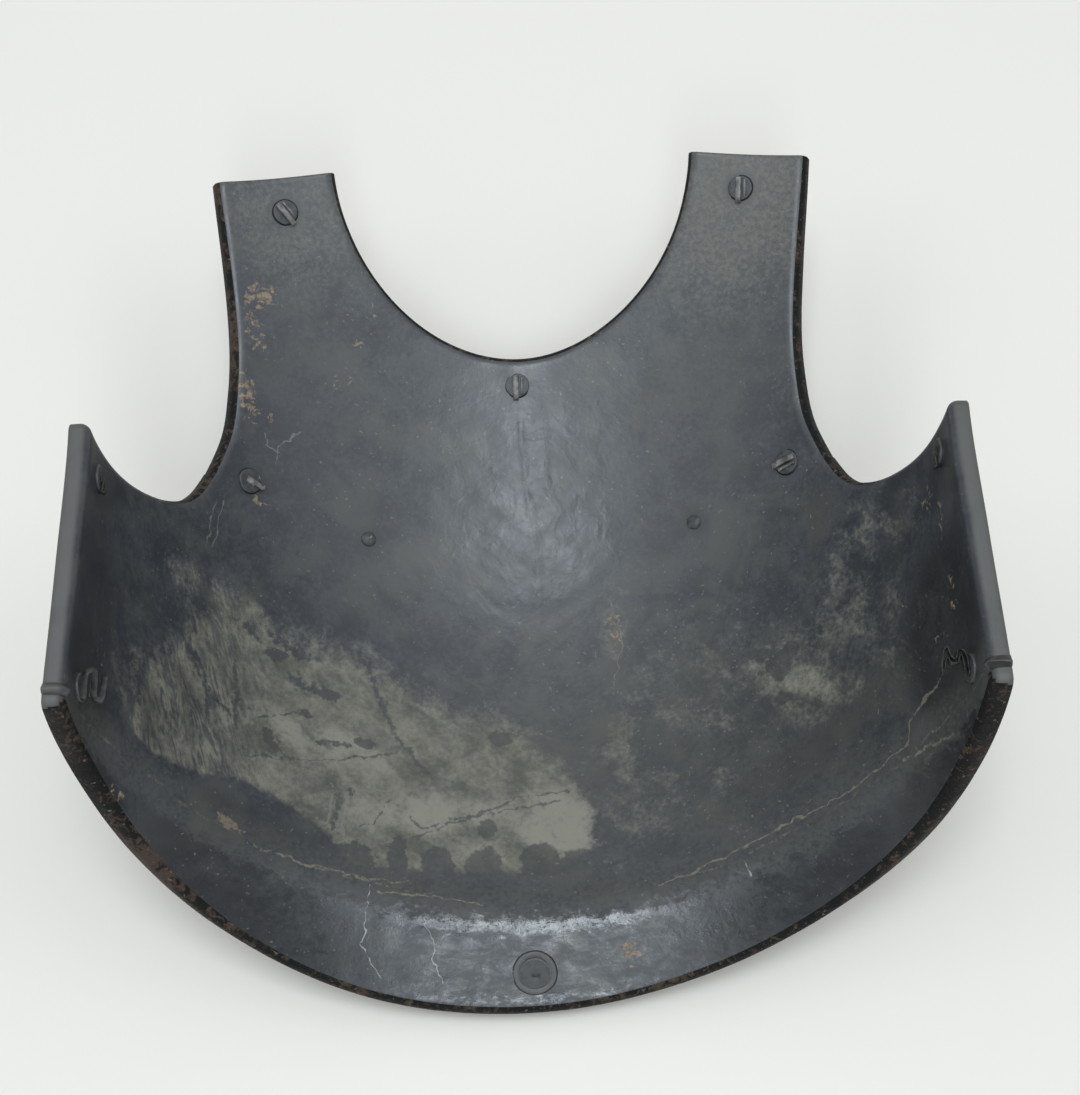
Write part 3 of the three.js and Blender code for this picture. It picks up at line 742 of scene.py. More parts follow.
def shell_mesh():
    channels, faces = whole_sheet()
    points, across, along, past, below = channels[:, :3], *channels[:, 3:].T
    normals = vertex_normals(points, faces)
    inner = points + normals * hammered(points, across, along, past)[:, None]
    normals = vertex_normals(inner, faces)
    outer = inner - normals * PLATE
    count = len(inner)

    edges = boundary_edges(faces)
    rim_out = np.zeros_like(inner)
    for a, b in edges:
        step = inner[b] - inner[a]
        away = np.cross(step, normals[a] + normals[b])
        rim_out[[a, b]] += away / np.linalg.norm(away)
    free = sorted({v for edge in edges for v in edge})
    rim_out[free] = unit(rim_out[free])
    lips = []
    for share, bulge, _ in LIP_RINGS:
        lips.append(inner[free] * (1 - share) + outer[free] * share + rim_out[free] * bulge * LIP)
    all_points = np.concatenate([inner, outer, *lips])
    rings = [{v: v for v in free}]
    for k in range(len(lips)):
        rings.append({v: 2 * count + k * len(free) + i for i, v in enumerate(free)})
    rings.append({v: v + count for v in free})
    all_faces = list(faces) + [tuple(v + count for v in reversed(f)) for f in faces]
    for a, b in edges:
        for near, far in zip(rings, rings[1:]):
            all_faces.append((near[b], near[a], far[a], far[b]))

    own = np.concatenate([np.arange(count), np.arange(count), *[free] * len(lips)])
    belongs = [share for *_, share in LIP_RINGS]
    hollow = np.concatenate([np.ones(count), np.zeros(count), np.repeat(belongs, len(free))])
    lip = np.concatenate([np.zeros(2 * count), np.ones(len(lips) * len(free))])
    lip[free] = LIP_BORDER
    lip[[v + count for v in free]] = LIP_BORDER
    flat = channels[own, 3:5]
    across, along, past, below = channels[own, 3:].T
    masks = {
        "hollow": hollow,
        "lip": lip,
        "past": past,
        "flank": smooth(*FLANK_FROM, np.abs(across)),
        "hammered": bump_round(across, along, SHINE_SPOT),
        "below": below,
        "dust": film(across, along),
        "pale": patch(across, along, PALE),
        "blackest_and_shade": patch(across, along, BLACKEST_AND_SHADE),
        "haze": patch(across, along, HAZE),
        # polish and painted highlight along the waist's bend
        "bend": np.exp(-(((below - POLISH_AND_HIGHLIGHT_BEND["below"]) / POLISH_AND_HIGHLIGHT_BEND["half_width"]) ** 2)),
        # polish and painted highlight along the hem
        "hem": smooth(*HEM_FROM, below) * (1 - smooth(*HEM_FOLD, past)),
        "left": smooth(*LEFT_FROM, across),
        "worn": patch(across, along, WORN),
        "flecks": patch(across, along, FLECKS),
        "grime_and_shade": grime_and_shade(all_points),
    }
    return all_points, all_faces, flat, masks


def seat_on(node, points):
    """Shifts points that stand in the body frame, pitched, to where the node stands, in metres."""
    low, high = (np.array(corner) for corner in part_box(node))
    points = to_part_frame(points) * MM
    mine_low, mine_high = points.min(0), points.max(0)
    shift = (low + high) / 2 - (mine_low + mine_high) / 2
    shift[2] = high[2] - mine_high[2]
    return points + shift, shift


def mesh_object(name, points, faces, material):
    mesh = bpy.data.meshes.new(name)
    mesh.from_pydata([tuple(p) for p in points], [], faces)
    mesh.polygons.foreach_set("use_smooth", [True] * len(mesh.polygons))
    mesh.materials.append(material)
    mesh.update()
    piece = bpy.data.objects.new(name, mesh)
    bpy.context.scene.collection.objects.link(piece)
    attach(piece, "root")
    return piece


def set_values(mesh, name, values):
    mesh.attributes.new(name, "FLOAT", "POINT").data.foreach_set("value", np.asarray(values, np.float32))


def near_marks(flat):
    """Where a drawn line or drop is close enough to show."""
    across, along = flat.T
    near = np.zeros(len(flat), bool)
    for _, half_width, points in LINES:
        near |= line_distance(across, along, points) < half_width + MARK_MARGIN
    for x, y, long, wide in DROPS:
        near |= np.hypot((across - x) / (long + MARK_MARGIN), (along - y) / (wide + MARK_MARGIN)) < 1
    return near


def scale_here(masks):
    """1 where the turned rims carry black scale, which starts a little past the fold."""
    start = np.where(masks["below"] > 3, SCALE_START["hem"], SCALE_START["elsewhere"])
    return (masks["past"] > start) * (masks["flank"] < 0.5)


def make_shell(materials):
    points, faces, flat, masks = shell_mesh()
    points, shift = seat_on("breast_shell", points)
    points[:, 2] = np.maximum(points[:, 2], 0)
    shell = mesh_object("shell", points, faces, materials["outside"])
    mesh = shell.data
    for key in ("inside", "marked", "edge"):
        mesh.materials.append(materials[key])
    marked = near_marks(flat)
    scaled = scale_here(masks)
    kinds = []
    for f in faces:
        corners = list(f)
        if masks["hollow"][corners].mean() < 0.1:
            kinds.append(OUTSIDE)
        elif scaled[corners].mean() > 0.4:
            kinds.append(EDGE)
        else:
            kinds.append(MARKED if marked[corners].any() else INSIDE)
    mesh.polygons.foreach_set("material_index", kinds)
    for name, values in masks.items():
        set_values(mesh, name, values)
    layer = mesh.uv_layers.new(name="sheet")
    corners = np.zeros(len(mesh.loops), int)
    mesh.loops.foreach_get("vertex_index", corners)
    layer.data.foreach_set("uv", (flat[corners] * MM).astype(np.float32).ravel())
    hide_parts("breast_shell")
    return shift


# ---------------------------------------------------------------- the fastenings' pieces

STRIP_SIDES = 16
ROUNDNESS = 0.55  # of a strip's section, 1 being round and 0 square
BLUNT_END = 0.72  # how thick a strip is at its ends
NICK = {"radius": 2.0, "half_width": 0.6, "depth": 0.7, "turn": 0.8, "above": 0.5}


def placement(origin, out, up):
    """Rows of the origin and the axes of a fastening: y into the hollow, z up the body."""
    y = -out
    x = unit(np.cross(y, up))
    return np.array([origin, x, y, np.cross(x, y)])


def face_placement(side, turn, height):
    turns, heights = np.array([float(turn)]), np.array([float(height)])
    up, _, out = face_axes(turns, heights, side)
    return placement(face(turns, heights, side)[0], out[0], up[0])


def skirt_placement(distance):
    rows = skirt_grid(np.array([0.0, 1.0]), 1)[:, 0, :3]
    up = unit(rows[-1 - SKIRT_STEPS] - rows[-1])
    origin = rows[-1] + up * (np.linalg.norm(rows[-1] - rows[0]) - distance)
    return placement(origin, np.array([0, up[2], -up[1]]), up)


def set_in(place, points, shift):
    """Points of a fastening's own axes, in metres in the part's frame."""
    points = np.asarray(points, float)
    body = place[0] + points @ place[1:]
    return to_part_frame(body) * MM + shift


def lathe(profile, sides, ripple=0.0, seed=0.0):
    """A turned solid about y from a profile of (radius, height) that starts and ends on the axis."""
    points, rings = [], []
    for radius, height in profile:
        if radius < 1e-6:
            rings.append([len(points)] * sides)
            points.append((0, height, 0))
            continue
        rings.append(list(range(len(points), len(points) + sides)))
        for k in range(sides):
            a = 2 * math.pi * k / sides
            wobble = 1 + ripple * noise.noise(Vector((math.cos(a), math.sin(a), seed)) * 1.3)
            points.append((radius * wobble * math.sin(a), height, radius * wobble * math.cos(a)))
    faces = []
    for low, high in zip(rings, rings[1:]):
        for k in range(sides):
            corners = [low[k - 1], low[k], high[k], high[k - 1]]
            kept = [v for i, v in enumerate(corners) if v != corners[i - 1]]
            if len(set(kept)) >= 3:
                faces.append(tuple(kept))
    return points, faces


def merge(*solids):
    points, faces = [], []
    for own_points, own_faces in solids:
        faces += [tuple(v + len(points) for v in f) for f in own_faces]
        points += [tuple(p) for p in own_points]
    return points, faces


def arc(radius, height, base, start, end, steps):
    """Points of an ellipse's arc, as (radius, height) from the axis, angles from the axis."""
    angles = [math.radians(start + (end - start) * i / steps) for i in range(steps + 1)]
    return [(radius * math.sin(a), base + height * math.cos(a)) for a in angles]


def outside_head(rivet, sides=32):
    """The low dome on the plate's outer side, sunk a little into it."""
    base = -PLATE - 0.1
    dome = arc(rivet["head"], -rivet["head_height"], base, 0, 90, 8)
    return lathe([*dome, (rivet["head"] - 0.4, base + 0.4), (0, base + 0.4)], sides)


def inside_disc(rivet, seed, sides=40):
    """A thin disc with a worn round edge, in a low ring that black dirt and painted shade cover."""
    radius, top = rivet["disc"], rivet["top"]
    edge = arc(0.5, 0.4, top - 0.4, 90, 0, 4)
    profile = [(0, SUNK), (radius + 0.55, SUNK), (radius + 0.55, 0.12), (radius + 0.05, 0.16)]
    profile += [(radius - 0.5 + r, y) for r, y in edge]
    profile += [(radius * share, top - 0.12 * (1 - share)) for share in (0.75, 0.5, 0.25)]
    return lathe([*profile, (0, top - 0.15)], sides, ripple=0.03, seed=seed)


def bumped(solid, amount, size, seed):
    """The same solid with hand-made unevenness."""
    points, faces = solid
    moved = []
    for p in points:
        v = Vector(p) / size + Vector((seed * 7.3, 0, 0))
        ways = (v, v + Vector((0, 31, 0)), v + Vector((0, 0, 57)))
        moved.append(tuple(Vector(p) + Vector([noise.noise(way) for way in ways]) * amount))
    return moved, faces


def squared(angle):
    """A point on a rounded square, by its angle."""
    return tuple(math.copysign(abs(way) ** ROUNDNESS, way) for way in (math.cos(angle), math.sin(angle)))


def strip(leg, steps=9):
    """A flat bent strip with softened edges and blunt ends."""
    count = (len(leg["line"]) - 1) * steps
    path = curve_through(leg["line"], count + 1)
    tangent = unit(np.gradient(path, axis=0))
    normal = np.stack([-tangent[:, 1], tangent[:, 0]], -1)
    ring = [squared(2 * math.pi * k / STRIP_SIDES) for k in range(STRIP_SIDES)]
    points, faces = [], []
    shrink = np.ones(count + 1)
    shrink[[0, -1]] = BLUNT_END
    for at, n, s in zip(path, normal, shrink):
        for u, v in ring:
            middle = at + n * (u * leg["tall"] / 2 * s)
            points.append((leg["aside"] + v * leg["wide"] / 2 * s, middle[1], middle[0]))
    for row in range(count):
        for k in range(STRIP_SIDES):
            a, b = row * STRIP_SIDES + k, row * STRIP_SIDES + (k + 1) % STRIP_SIDES
            faces.append((a, b, b + STRIP_SIDES, a + STRIP_SIDES))
    faces.append(tuple(reversed(range(STRIP_SIDES))))
    faces.append(tuple(count * STRIP_SIDES + k for k in range(STRIP_SIDES)))
    return points, faces


def turned(solid, angle):
    """Turned about y by an angle in degrees."""
    a = math.radians(angle)
    points, faces = solid
    c, s = math.cos(a), math.sin(a)
    return [(x * c + z * s, y, z * c - x * s) for x, y, z in points], faces


def nicked(solid):
    """A short curved chisel nick in the middle of the disc."""
    points, faces = solid
    dented = []
    for x, y, z in points:
        radius, angle = math.hypot(x, z), math.atan2(x, -z)
        if y > NICK["above"]:
            ring = math.exp(-(((radius - NICK["radius"]) / NICK["half_width"]) ** 2))
            y -= NICK["depth"] * ring * max(0.0, math.cos(angle * NICK["turn"])) ** 2
        dented.append((x, y, z))
    return dented, faces


def waist_disc():
    """The waist rivet's flat end, turned fine enough to hold its nick."""
    top, radius = WAIST_RIVET["top"] - 0.5, WAIST_RIVET["disc"]
    rings = [(radius * share, top) for share in np.linspace(0.93, 0.06, 16)]
    profile = [(0, SUNK), (radius, SUNK), (radius, top - 0.3), (radius - 0.12, top - 0.08), *rings, (0, top)]
    return nicked(lathe(profile, 48, ripple=0.02, seed=4.0))


def waist_washer():
    inner, outer, top = WAIST_WASHER["inner"], WAIST_WASHER["outer"], WAIST_WASHER["top"] - 0.3
    profile = [(inner, SUNK), (outer + 0.4, SUNK), (outer + 0.4, 0.1), (outer, 0.12)]
    profile += [(outer - 0.05, top - 0.15), (outer - 0.5, top)]
    profile += [(inner + 0.1, top), (inner, top - 0.1), (inner, SUNK)]
    return lathe(profile, 48, ripple=0.02, seed=6.0)


def make_fastening(name, node, place, solid, slot, material, shift):
    points, faces = solid
    piece = mesh_object(name, set_in(place, points, shift), faces, material)
    high = LOW_DIRT_AND_SHADE[slot]
    # Black dirt and painted shade low on the piece, next to the plate.
    set_values(piece.data, "low", smooth(high, high * 0.35, np.array(points)[:, 1]))
    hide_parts(node)


def make_fastenings(materials, shift):
    for k, (name, side, turn, height, leg, points_to) in enumerate(STUDS):
        place = face_placement(side, turn, height)
        stud = bumped(merge(outside_head(STUD), inside_disc(STUD, k)), 0.12, 4, k)
        make_fastening(f"{name}_stud", f"stud_{name}", place, stud, "stud", materials["stud"], shift)
        legs = merge(*[strip(row) for row in PIN_LEGS[leg]])
        pin = turned(bumped(legs, 0.16, 3, k + 20), points_to)
        steel = materials["wing_pin" if "wing" in name else "pin"]
        make_fastening(f"{name}_pin", f"pin_{name}", place, pin, "pin", steel, shift)
    for k, (name, side, turn, height) in enumerate(CHEST_RIVETS):
        place = face_placement(side, turn, height)
        radius, top = CHEST_RIVET["disc"], CHEST_RIVET["top"]
        dome = lathe([(0, SUNK), (radius, SUNK), *arc(radius, top, 0, 90, 0, 8)], 32)
        rivet = bumped(merge(outside_head(CHEST_RIVET), dome), 0.35, 3, k + 40)
        make_fastening(f"{name}_end", name, place, rivet, "rivet", materials["rivet"], shift)
    place = skirt_placement(WAIST_RIVET_PLACE)
    rivet = bumped(merge(outside_head(WAIST_RIVET), waist_disc()), 0.15, 4, 50)
    make_fastening("waist_rivet_end", "waist_rivet", place, rivet, "rivet", materials["rivet"], shift)
    ring = bumped(waist_washer(), 0.1, 5, 51)
    make_fastening("waist_ring", "waist_washer", place, ring, "rivet", materials["rivet"], shift)


# ---------------------------------------------------------------- materials


class Nodes:
    """A material whose nodes are made by short calls that return an output socket."""

    def __init__(self, name):
        self.material = bpy.data.materials.new(name)
        self.material.use_nodes = True
        self.tree = self.material.node_tree
        self.shader = self.tree.nodes["Principled BSDF"]

    def put(self, socket, value):
        if isinstance(value, bpy.types.NodeSocket):
            self.tree.links.new(value, socket)
        elif socket.type == "RGBA" and len(value) == 3:
            socket.default_value = (*value, 1)
        else:
            socket.default_value = value

    def node(self, kind, inputs, output=0, **settings):
        node = self.tree.nodes.new(kind)
        for key, value in settings.items():
            setattr(node, key, value)
        for key, value in inputs.items():
            self.put(node.inputs[key], value)
        return node.outputs[output]

    def math(self, operation, *values):
        return self.node("ShaderNodeMath", dict(enumerate(values)), operation=operation)

    def vector(self, operation, *values, output=0):
        return self.node("ShaderNodeVectorMath", dict(enumerate(values)), output, operation=operation)

    def add(self, *values):
        total = values[0]
        for value in values[1:]:
            total = self.math("ADD", total, value)
        return total

    def product(self, *values):
        total = values[0]
        for value in values[1:]:
            total = self.math("MULTIPLY", total, value)
        return total

    def most(self, *values):
        total = values[0]
        for value in values[1:]:
            total = self.math("MAXIMUM", total, value)
        return total

    def least(self, *values):
        total = values[0]
        for value in values[1:]:
            total = self.math("MINIMUM", total, value)
        return total

    def laid(self, colour, mask, tint, share=1.0):
        """The colour with a tint laid over it where the mask is 1."""
        return self.colours(mask if share == 1.0 else self.product(mask, share), colour, tint)

    def off(self, value, share):
        """A noise value as a shift either way from 0."""
        return self.product(self.math("SUBTRACT", value, 0.5), share)

    def less(self, value, mask, share=1.0):
        """The value where the mask is 0, less of it where the mask is 1."""
        return self.product(value, self.math("SUBTRACT", 1.0, self.product(mask, share)))

    def ramp(self, value, start, end, low=0.0, high=1.0):
        inputs = {"Value": value, "From Min": start, "From Max": end, "To Min": low, "To Max": high}
        return self.node("ShaderNodeMapRange", inputs, interpolation_type="SMOOTHSTEP")

    def noise(self, vector, scale, detail=2.0, roughness=0.5, distortion=0.0):
        inputs = {
            "Vector": vector, "Scale": float(scale), "Detail": float(detail),
            "Roughness": roughness, "Distortion": distortion,
        }
        return self.node("ShaderNodeTexNoise", inputs)

    def colours(self, mask, low, high):
        return self.node("ShaderNodeMix", {0: mask, 6: low, 7: high}, 2, data_type="RGBA")

    def between(self, mask, low, high):
        return self.node("ShaderNodeMix", {0: mask, 2: low, 3: high}, 0, data_type="FLOAT")

    def attribute(self, name):
        return self.node("ShaderNodeAttribute", {}, 2, attribute_name=name)

    def stretched(self, vector, scale, angle=0.0):
        """A vector turned about z, then scaled along each axis."""
        inputs = {"Vector": vector, "Rotation": (0, 0, math.radians(angle))}
        turned_vector = self.node("ShaderNodeMapping", inputs, vector_type="POINT")
        return self.vector("MULTIPLY", turned_vector, scale)

    def finish(self, colour, roughness, height, bump=1.0):
        """Height is in millimetres."""
        normal = self.node("ShaderNodeBump", {"Strength": bump, "Distance": MM, "Height": height})
        for key, value in {"Base Color": colour, "Roughness": roughness, "Normal": normal}.items():
            self.put(self.shader.inputs[key], value)
        return self.material


def group_of(name, inputs):
    """An empty node group with one distance output, and the nodes at its two ends."""
    group = bpy.data.node_groups.new(name, "ShaderNodeTree")
    for key, kind in inputs:
        group.interface.new_socket(key, in_out="INPUT", socket_type=kind)
    group.interface.new_socket("Distance", in_out="OUTPUT", socket_type="NodeSocketFloat")
    n = Nodes.__new__(Nodes)
    n.tree = group
    start, end = group.nodes.new("NodeGroupInput"), group.nodes.new("NodeGroupOutput")
    return n, start.outputs, end.inputs[0]


def line_group():
    """How far a place is from the line between two points, in half widths."""
    kinds = [("Place", "NodeSocketVector"), ("Start", "NodeSocketVector"), ("Run", "NodeSocketVector")]
    n, given, distance = group_of("line", [*kinds, ("Half Width", "NodeSocketFloat")])
    away = n.vector("SUBTRACT", given["Place"], given["Start"])
    along = n.vector("DOT_PRODUCT", away, given["Run"], output=1)
    whole = n.vector("DOT_PRODUCT", given["Run"], given["Run"], output=1)
    share = n.node("ShaderNodeClamp", {"Value": n.math("DIVIDE", along, whole)})
    nearest = n.node("ShaderNodeVectorMath", {0: given["Run"], 3: share}, operation="SCALE")
    across = n.vector("LENGTH", n.vector("SUBTRACT", away, nearest), output=1)
    n.put(distance, n.math("DIVIDE", across, given["Half Width"]))
    return n.tree


def drop_group():
    """How far a place is from the middle of an oval, in half sizes."""
    kinds = [("Place", "NodeSocketVector"), ("Middle", "NodeSocketVector"), ("Half Size", "NodeSocketVector")]
    n, given, distance = group_of("drop", kinds)
    away = n.vector("DIVIDE", n.vector("SUBTRACT", given["Place"], given["Middle"]), given["Half Size"])
    n.put(distance, n.vector("LENGTH", away, output=1))
    return n.tree


def use_group(n, group, **inputs):
    node = n.tree.nodes.new("ShaderNodeGroup")
    node.node_tree = group
    for key, value in inputs.items():
        n.put(node.inputs[key.replace("_", " ")], value)
    return node.outputs[0]


def line_masks(n, sheet, ragged):
    """For each tone, a mask that is 1 on its lines and breaks up where the ragged value is high."""
    group = line_group()
    apart = {}
    for tone, half_width, points in LINES:
        for (x0, y0), (x1, y1) in zip(points, points[1:]):
            run = (x1 - x0, y1 - y0, 0)
            one = use_group(n, group, Place=sheet, Start=(x0, y0, 0), Run=run, Half_Width=half_width)
            apart[tone] = n.least(apart[tone], one) if tone in apart else one
    return {tone: n.ramp(n.add(distance, ragged), 1.6, 0.3) for tone, distance in apart.items()}


def drop_mask(n, sheet, ragged):
    group = drop_group()
    apart = []
    for x, y, long, wide in DROPS:
        apart.append(use_group(n, group, Place=sheet, Middle=(x, y, 0), Half_Size=(long, wide, 1)))
    return n.ramp(n.add(n.least(*apart), ragged), 1.1, 0.9)


TINTS = {
    "varnish_dark": (0.026, 0.029, 0.035), "varnish_light": (0.050, 0.053, 0.059),
    # The blackest varnish tint is partly painted shade on the side walls and the skirt's sides.
    "dirt": (0.066, 0.064, 0.056), "blackest_and_shade": (0.009, 0.010, 0.012), "haze": (0.062, 0.060, 0.050),
    "rim_dark": (0.030, 0.027, 0.025), "rim_light": (0.075, 0.066, 0.056),
    "flank": (0.078, 0.075, 0.070), "rubbed": (0.095, 0.084, 0.070), "drop": (0.036, 0.037, 0.036),
    "dust_thin": (0.086, 0.081, 0.066), "dust_thick": (0.232, 0.220, 0.178),
    "worn_dark": (0.072, 0.069, 0.062), "worn_light": (0.122, 0.115, 0.101),
    "fleck_dark": (0.15, 0.115, 0.08), "fleck_light": (0.30, 0.225, 0.15), "speck": (0.22, 0.21, 0.18),
    "crease": (0.20, 0.18, 0.14), "tan": (0.19, 0.165, 0.125), "pale": (0.19, 0.185, 0.16),
    # The near-black on the ridge's grooves is painted shade.
    "bright": (0.30, 0.30, 0.29), "painted_groove_shade": (0.010, 0.010, 0.011),
    # The pale blue-grey of the skirt's streaks is a painted highlight; the dark round the fastenings is dirt
    # and painted shade.
    "polish_and_highlight": (0.108, 0.113, 0.119), "grime_and_shade": (0.020, 0.019, 0.018),
    "scale": (0.005, 0.005, 0.005), "scale_rust": (0.062, 0.043, 0.032), "chip": (0.16, 0.145, 0.125),
    # The pale steel on the fastenings' edges is rubbing and a painted highlight; the near-black next to the
    # plate is dirt and painted shade.
    "rubbed_and_highlight": (0.34, 0.33, 0.31), "low": (0.004, 0.004, 0.004),
    "paper_dark": (0.855, 0.805, 0.745), "paper_light": (0.875, 0.825, 0.765),
}
LINE_STRENGTHS = {"tan": 0.85, "pale": 0.6, "bright": 0.9, "painted_groove_shade": 0.8}
VARNISH_IOR = 1.7
SCALE_IOR = 1.3  # low, because a black crust hardly shines
DUSTY = 0.78  # roughness of what dust covers
TO_MILLIMETRES = (1000, 1000, 0)


def blackened_steel(name, inside, marked):
    """The plate's varnish: plain outside, stained inside, with the drawn marks only where there are any."""
    n = Nodes(name)
    place = n.node("ShaderNodeTexCoord", {}, 3)
    lip, past = n.attribute("lip"), n.attribute("past")
    broad = n.noise(place, 16, 2, 0.5, 0.3)
    cloud = n.noise(place, 62, 3, 0.6, 0.4)
    grain = n.noise(place, 420, 2, 0.7)

    # Blue-black, clouded with thin brown-grey dirt.
    clouded = n.ramp(n.add(cloud, n.off(grain, 0.7)), 0.32, 0.72)
    colour = n.colours(clouded, TINTS["varnish_dark"], TINTS["varnish_light"])
    dirt = n.ramp(n.noise(place, 34, 2, 0.62, 0.5), 0.46, 0.68)
    colour = n.laid(colour, n.product(dirt, n.ramp(broad, 0.3, 0.62, 0.2, 0.7)), TINTS["dirt"])
    rough = n.add(n.ramp(cloud, 0.3, 0.75, 0.31, 0.43), n.product(grain, 0.14))
    height = n.add(n.product(grain, 0.07), n.product(cloud, 0.12))
    if inside:
        # Blacker varnish, partly painted shade on the side walls and the skirt's sides.
        blackest_and_shade = n.ramp(n.add(n.attribute("blackest_and_shade"), n.off(cloud, 0.8), n.off(grain, 0.4)), 0.2, 0.8)
        colour = n.laid(colour, blackest_and_shade, TINTS["blackest_and_shade"], 0.85)
        haze = n.ramp(n.add(n.attribute("haze"), n.off(cloud, 0.6), n.off(grain, 0.5)), 0.1, 0.9)
        colour = n.laid(colour, haze, TINTS["haze"], 0.6)
        colour, rough = stained(n, place, marked, colour, rough, broad, cloud, grain)
        wrinkles = n.noise(n.vector("MULTIPLY", place, (1.0, 0.8, 1.0)), 115, 2, 0.5, 0.6)
        height = n.add(height, n.product(wrinkles, n.ramp(n.attribute("hammered"), 0, 1, 0.08, 0.40)))

    # The rims: brown on their edges, rubbed pale along the flanks.
    patchy = n.ramp(n.add(grain, n.product(cloud, 0.6)), 0.62, 0.95)
    rim = n.ramp(past, 3.5, 7.0)
    rim_colour = n.colours(patchy, TINTS["rim_dark"], TINTS["rim_light"])
    colour = n.laid(colour, rim, rim_colour, 0.7)
    flank = n.product(n.attribute("flank"), n.ramp(past, 3.0, 6.0))
    colour = n.laid(colour, n.product(flank, n.ramp(cloud, 0.25, 0.5, 0.7, 1.0)), TINTS["flank"])
    colour = n.laid(colour, n.product(n.ramp(lip, 0.3, 0.9), patchy), TINTS["rubbed"], 0.8)
    rough = n.between(n.most(rim, flank), rough, 0.62)
    n.shader.inputs["IOR"].default_value = VARNISH_IOR
    return n.finish(colour, rough, height)


def stained(n, place, marked, colour, rough, broad, cloud, grain):
    """What lies on the hollow side: dust, drops, rubbed varnish, flecks, scratches and dirt, with painted
    shade round the fastenings and in the ridge's grooves, and a painted highlight along the skirt's bend and
    hem.
    """
    flat = n.vector("MULTIPLY", n.node("ShaderNodeUVMap", {}, uv_map="sheet"), TO_MILLIMETRES)
    parts = n.tree.nodes.new("ShaderNodeSeparateXYZ")
    n.put(parts.inputs[0], flat)
    across = parts.outputs[0]
    film_here = n.attribute("dust")

    # Dust dried in the belly, wiped by a brush on the left and lifted by drops and scratches.
    dust = n.add(film_here, n.off(cloud, 0.75), n.off(grain, 0.7))
    wiped = n.noise(n.stretched(flat, (0.035, 0.10, 0), 38), 1.0, 2, 0.65, 0.6)
    dust = n.ramp(n.add(dust, n.off(wiped, 0.9)), 0.22, 1.0)
    streaks = n.noise(n.stretched(flat, (0.22, 0.05, 0), -24), 1.0, 2, 0.7, 1.6)
    dust = n.less(dust, n.product(n.ramp(across, -112, -160), n.ramp(streaks, 0.42, 0.64)), 0.8)
    if marked:
        wander = n.node("ShaderNodeTexNoise", {"Vector": place, "Scale": 150.0, "Detail": 2.0}, 1)
        wander = n.vector("MULTIPLY", n.vector("SUBTRACT", wander, (0.5, 0.5, 0.5)), (6, 6, 0))
        sheet = n.vector("ADD", flat, wander)
        lines = line_masks(n, sheet, n.add(n.off(grain, 4.5), n.off(cloud, 3.5)))
        drops = drop_mask(n, sheet, n.add(n.off(grain, 0.5), n.off(cloud, 0.7)))
        dust = n.less(dust, n.most(drops, lines["dark"]), 0.8)
        colour = n.laid(colour, n.product(drops, n.ramp(film_here, 0.1, 0.5)), TINTS["drop"], 0.6)
    pale = n.add(n.attribute("pale"), cloud, n.product(grain, 0.5), n.product(wiped, 0.5))
    dust_colour = n.colours(n.ramp(pale, 0.75, 1.45), TINTS["dust_thin"], TINTS["dust_thick"])
    colour = n.laid(colour, dust, dust_colour)
    rough = n.between(dust, rough, DUSTY)

    # Varnish rubbed grey at the shoulders, and tan flecks where it has come off.
    worn = n.ramp(n.add(n.attribute("worn"), n.off(cloud, 0.7), n.off(grain, 0.9)), 0.15, 1.0)
    worn_colour = n.colours(n.ramp(grain, 0.3, 0.7), TINTS["worn_dark"], TINTS["worn_light"])
    colour = n.laid(colour, worn, worn_colour)
    rough = n.between(worn, rough, 0.6)
    flecks = n.add(n.product(n.attribute("flecks"), 0.36), n.noise(place, 240, 3, 0.62, 0.6))
    flecks = n.product(n.ramp(flecks, 0.80, 0.88), n.ramp(n.attribute("flecks"), 0.02, 0.2))
    fleck_colour = n.colours(n.ramp(grain, 0.4, 0.6), TINTS["fleck_dark"], TINTS["fleck_light"])
    colour = n.laid(colour, flecks, fleck_colour, 0.85)
    rough = n.between(flecks, rough, 0.8)
    specks = n.ramp(n.noise(place, 620, 0, 0.5), 0.775, 0.82)
    colour = n.laid(colour, n.product(specks, n.ramp(broad, 0.3, 0.7, 0.3, 1.0)), TINTS["speck"], 0.5)

    # The crease at the waist holds dust.
    below = n.attribute("below")
    crease = n.math("ABSOLUTE", n.add(below, n.off(cloud, 9)))
    beside_middle = n.ramp(n.math("ABSOLUTE", across), 30, 60)
    crease = n.product(n.ramp(crease, 0.9, 0.2), n.ramp(wiped, 0.42, 0.58), beside_middle)
    colour = n.laid(colour, n.product(crease, n.ramp(grain, 0.42, 0.6)), TINTS["crease"], 0.8)
    rough = n.between(crease, rough, 0.8)

    # Scratches and creases, with painted shade along the ridge's grooves.
    if marked:
        for tone, strength in LINE_STRENGTHS.items():
            colour = n.laid(colour, lines[tone], TINTS[tone], strength)

    # Dust dulls the upper part of the waist's bend; below its ragged edge the skirt is polished in streaks,
    # with a painted highlight laid on them.
    torn = n.noise(n.stretched(flat, (0.11, 0.20, 0)), 1.0, 3, 0.75, 0.5)
    dull = n.ramp(n.add(below, n.off(torn, 26), n.off(grain, 10)), 12, 7)
    dull = n.product(dull, n.ramp(below, -16, -4))
    rough = n.between(dull, rough, DUSTY)
    colour = n.laid(colour, n.product(dull, n.ramp(grain, 0.3, 0.7)), TINTS["haze"], 0.6)
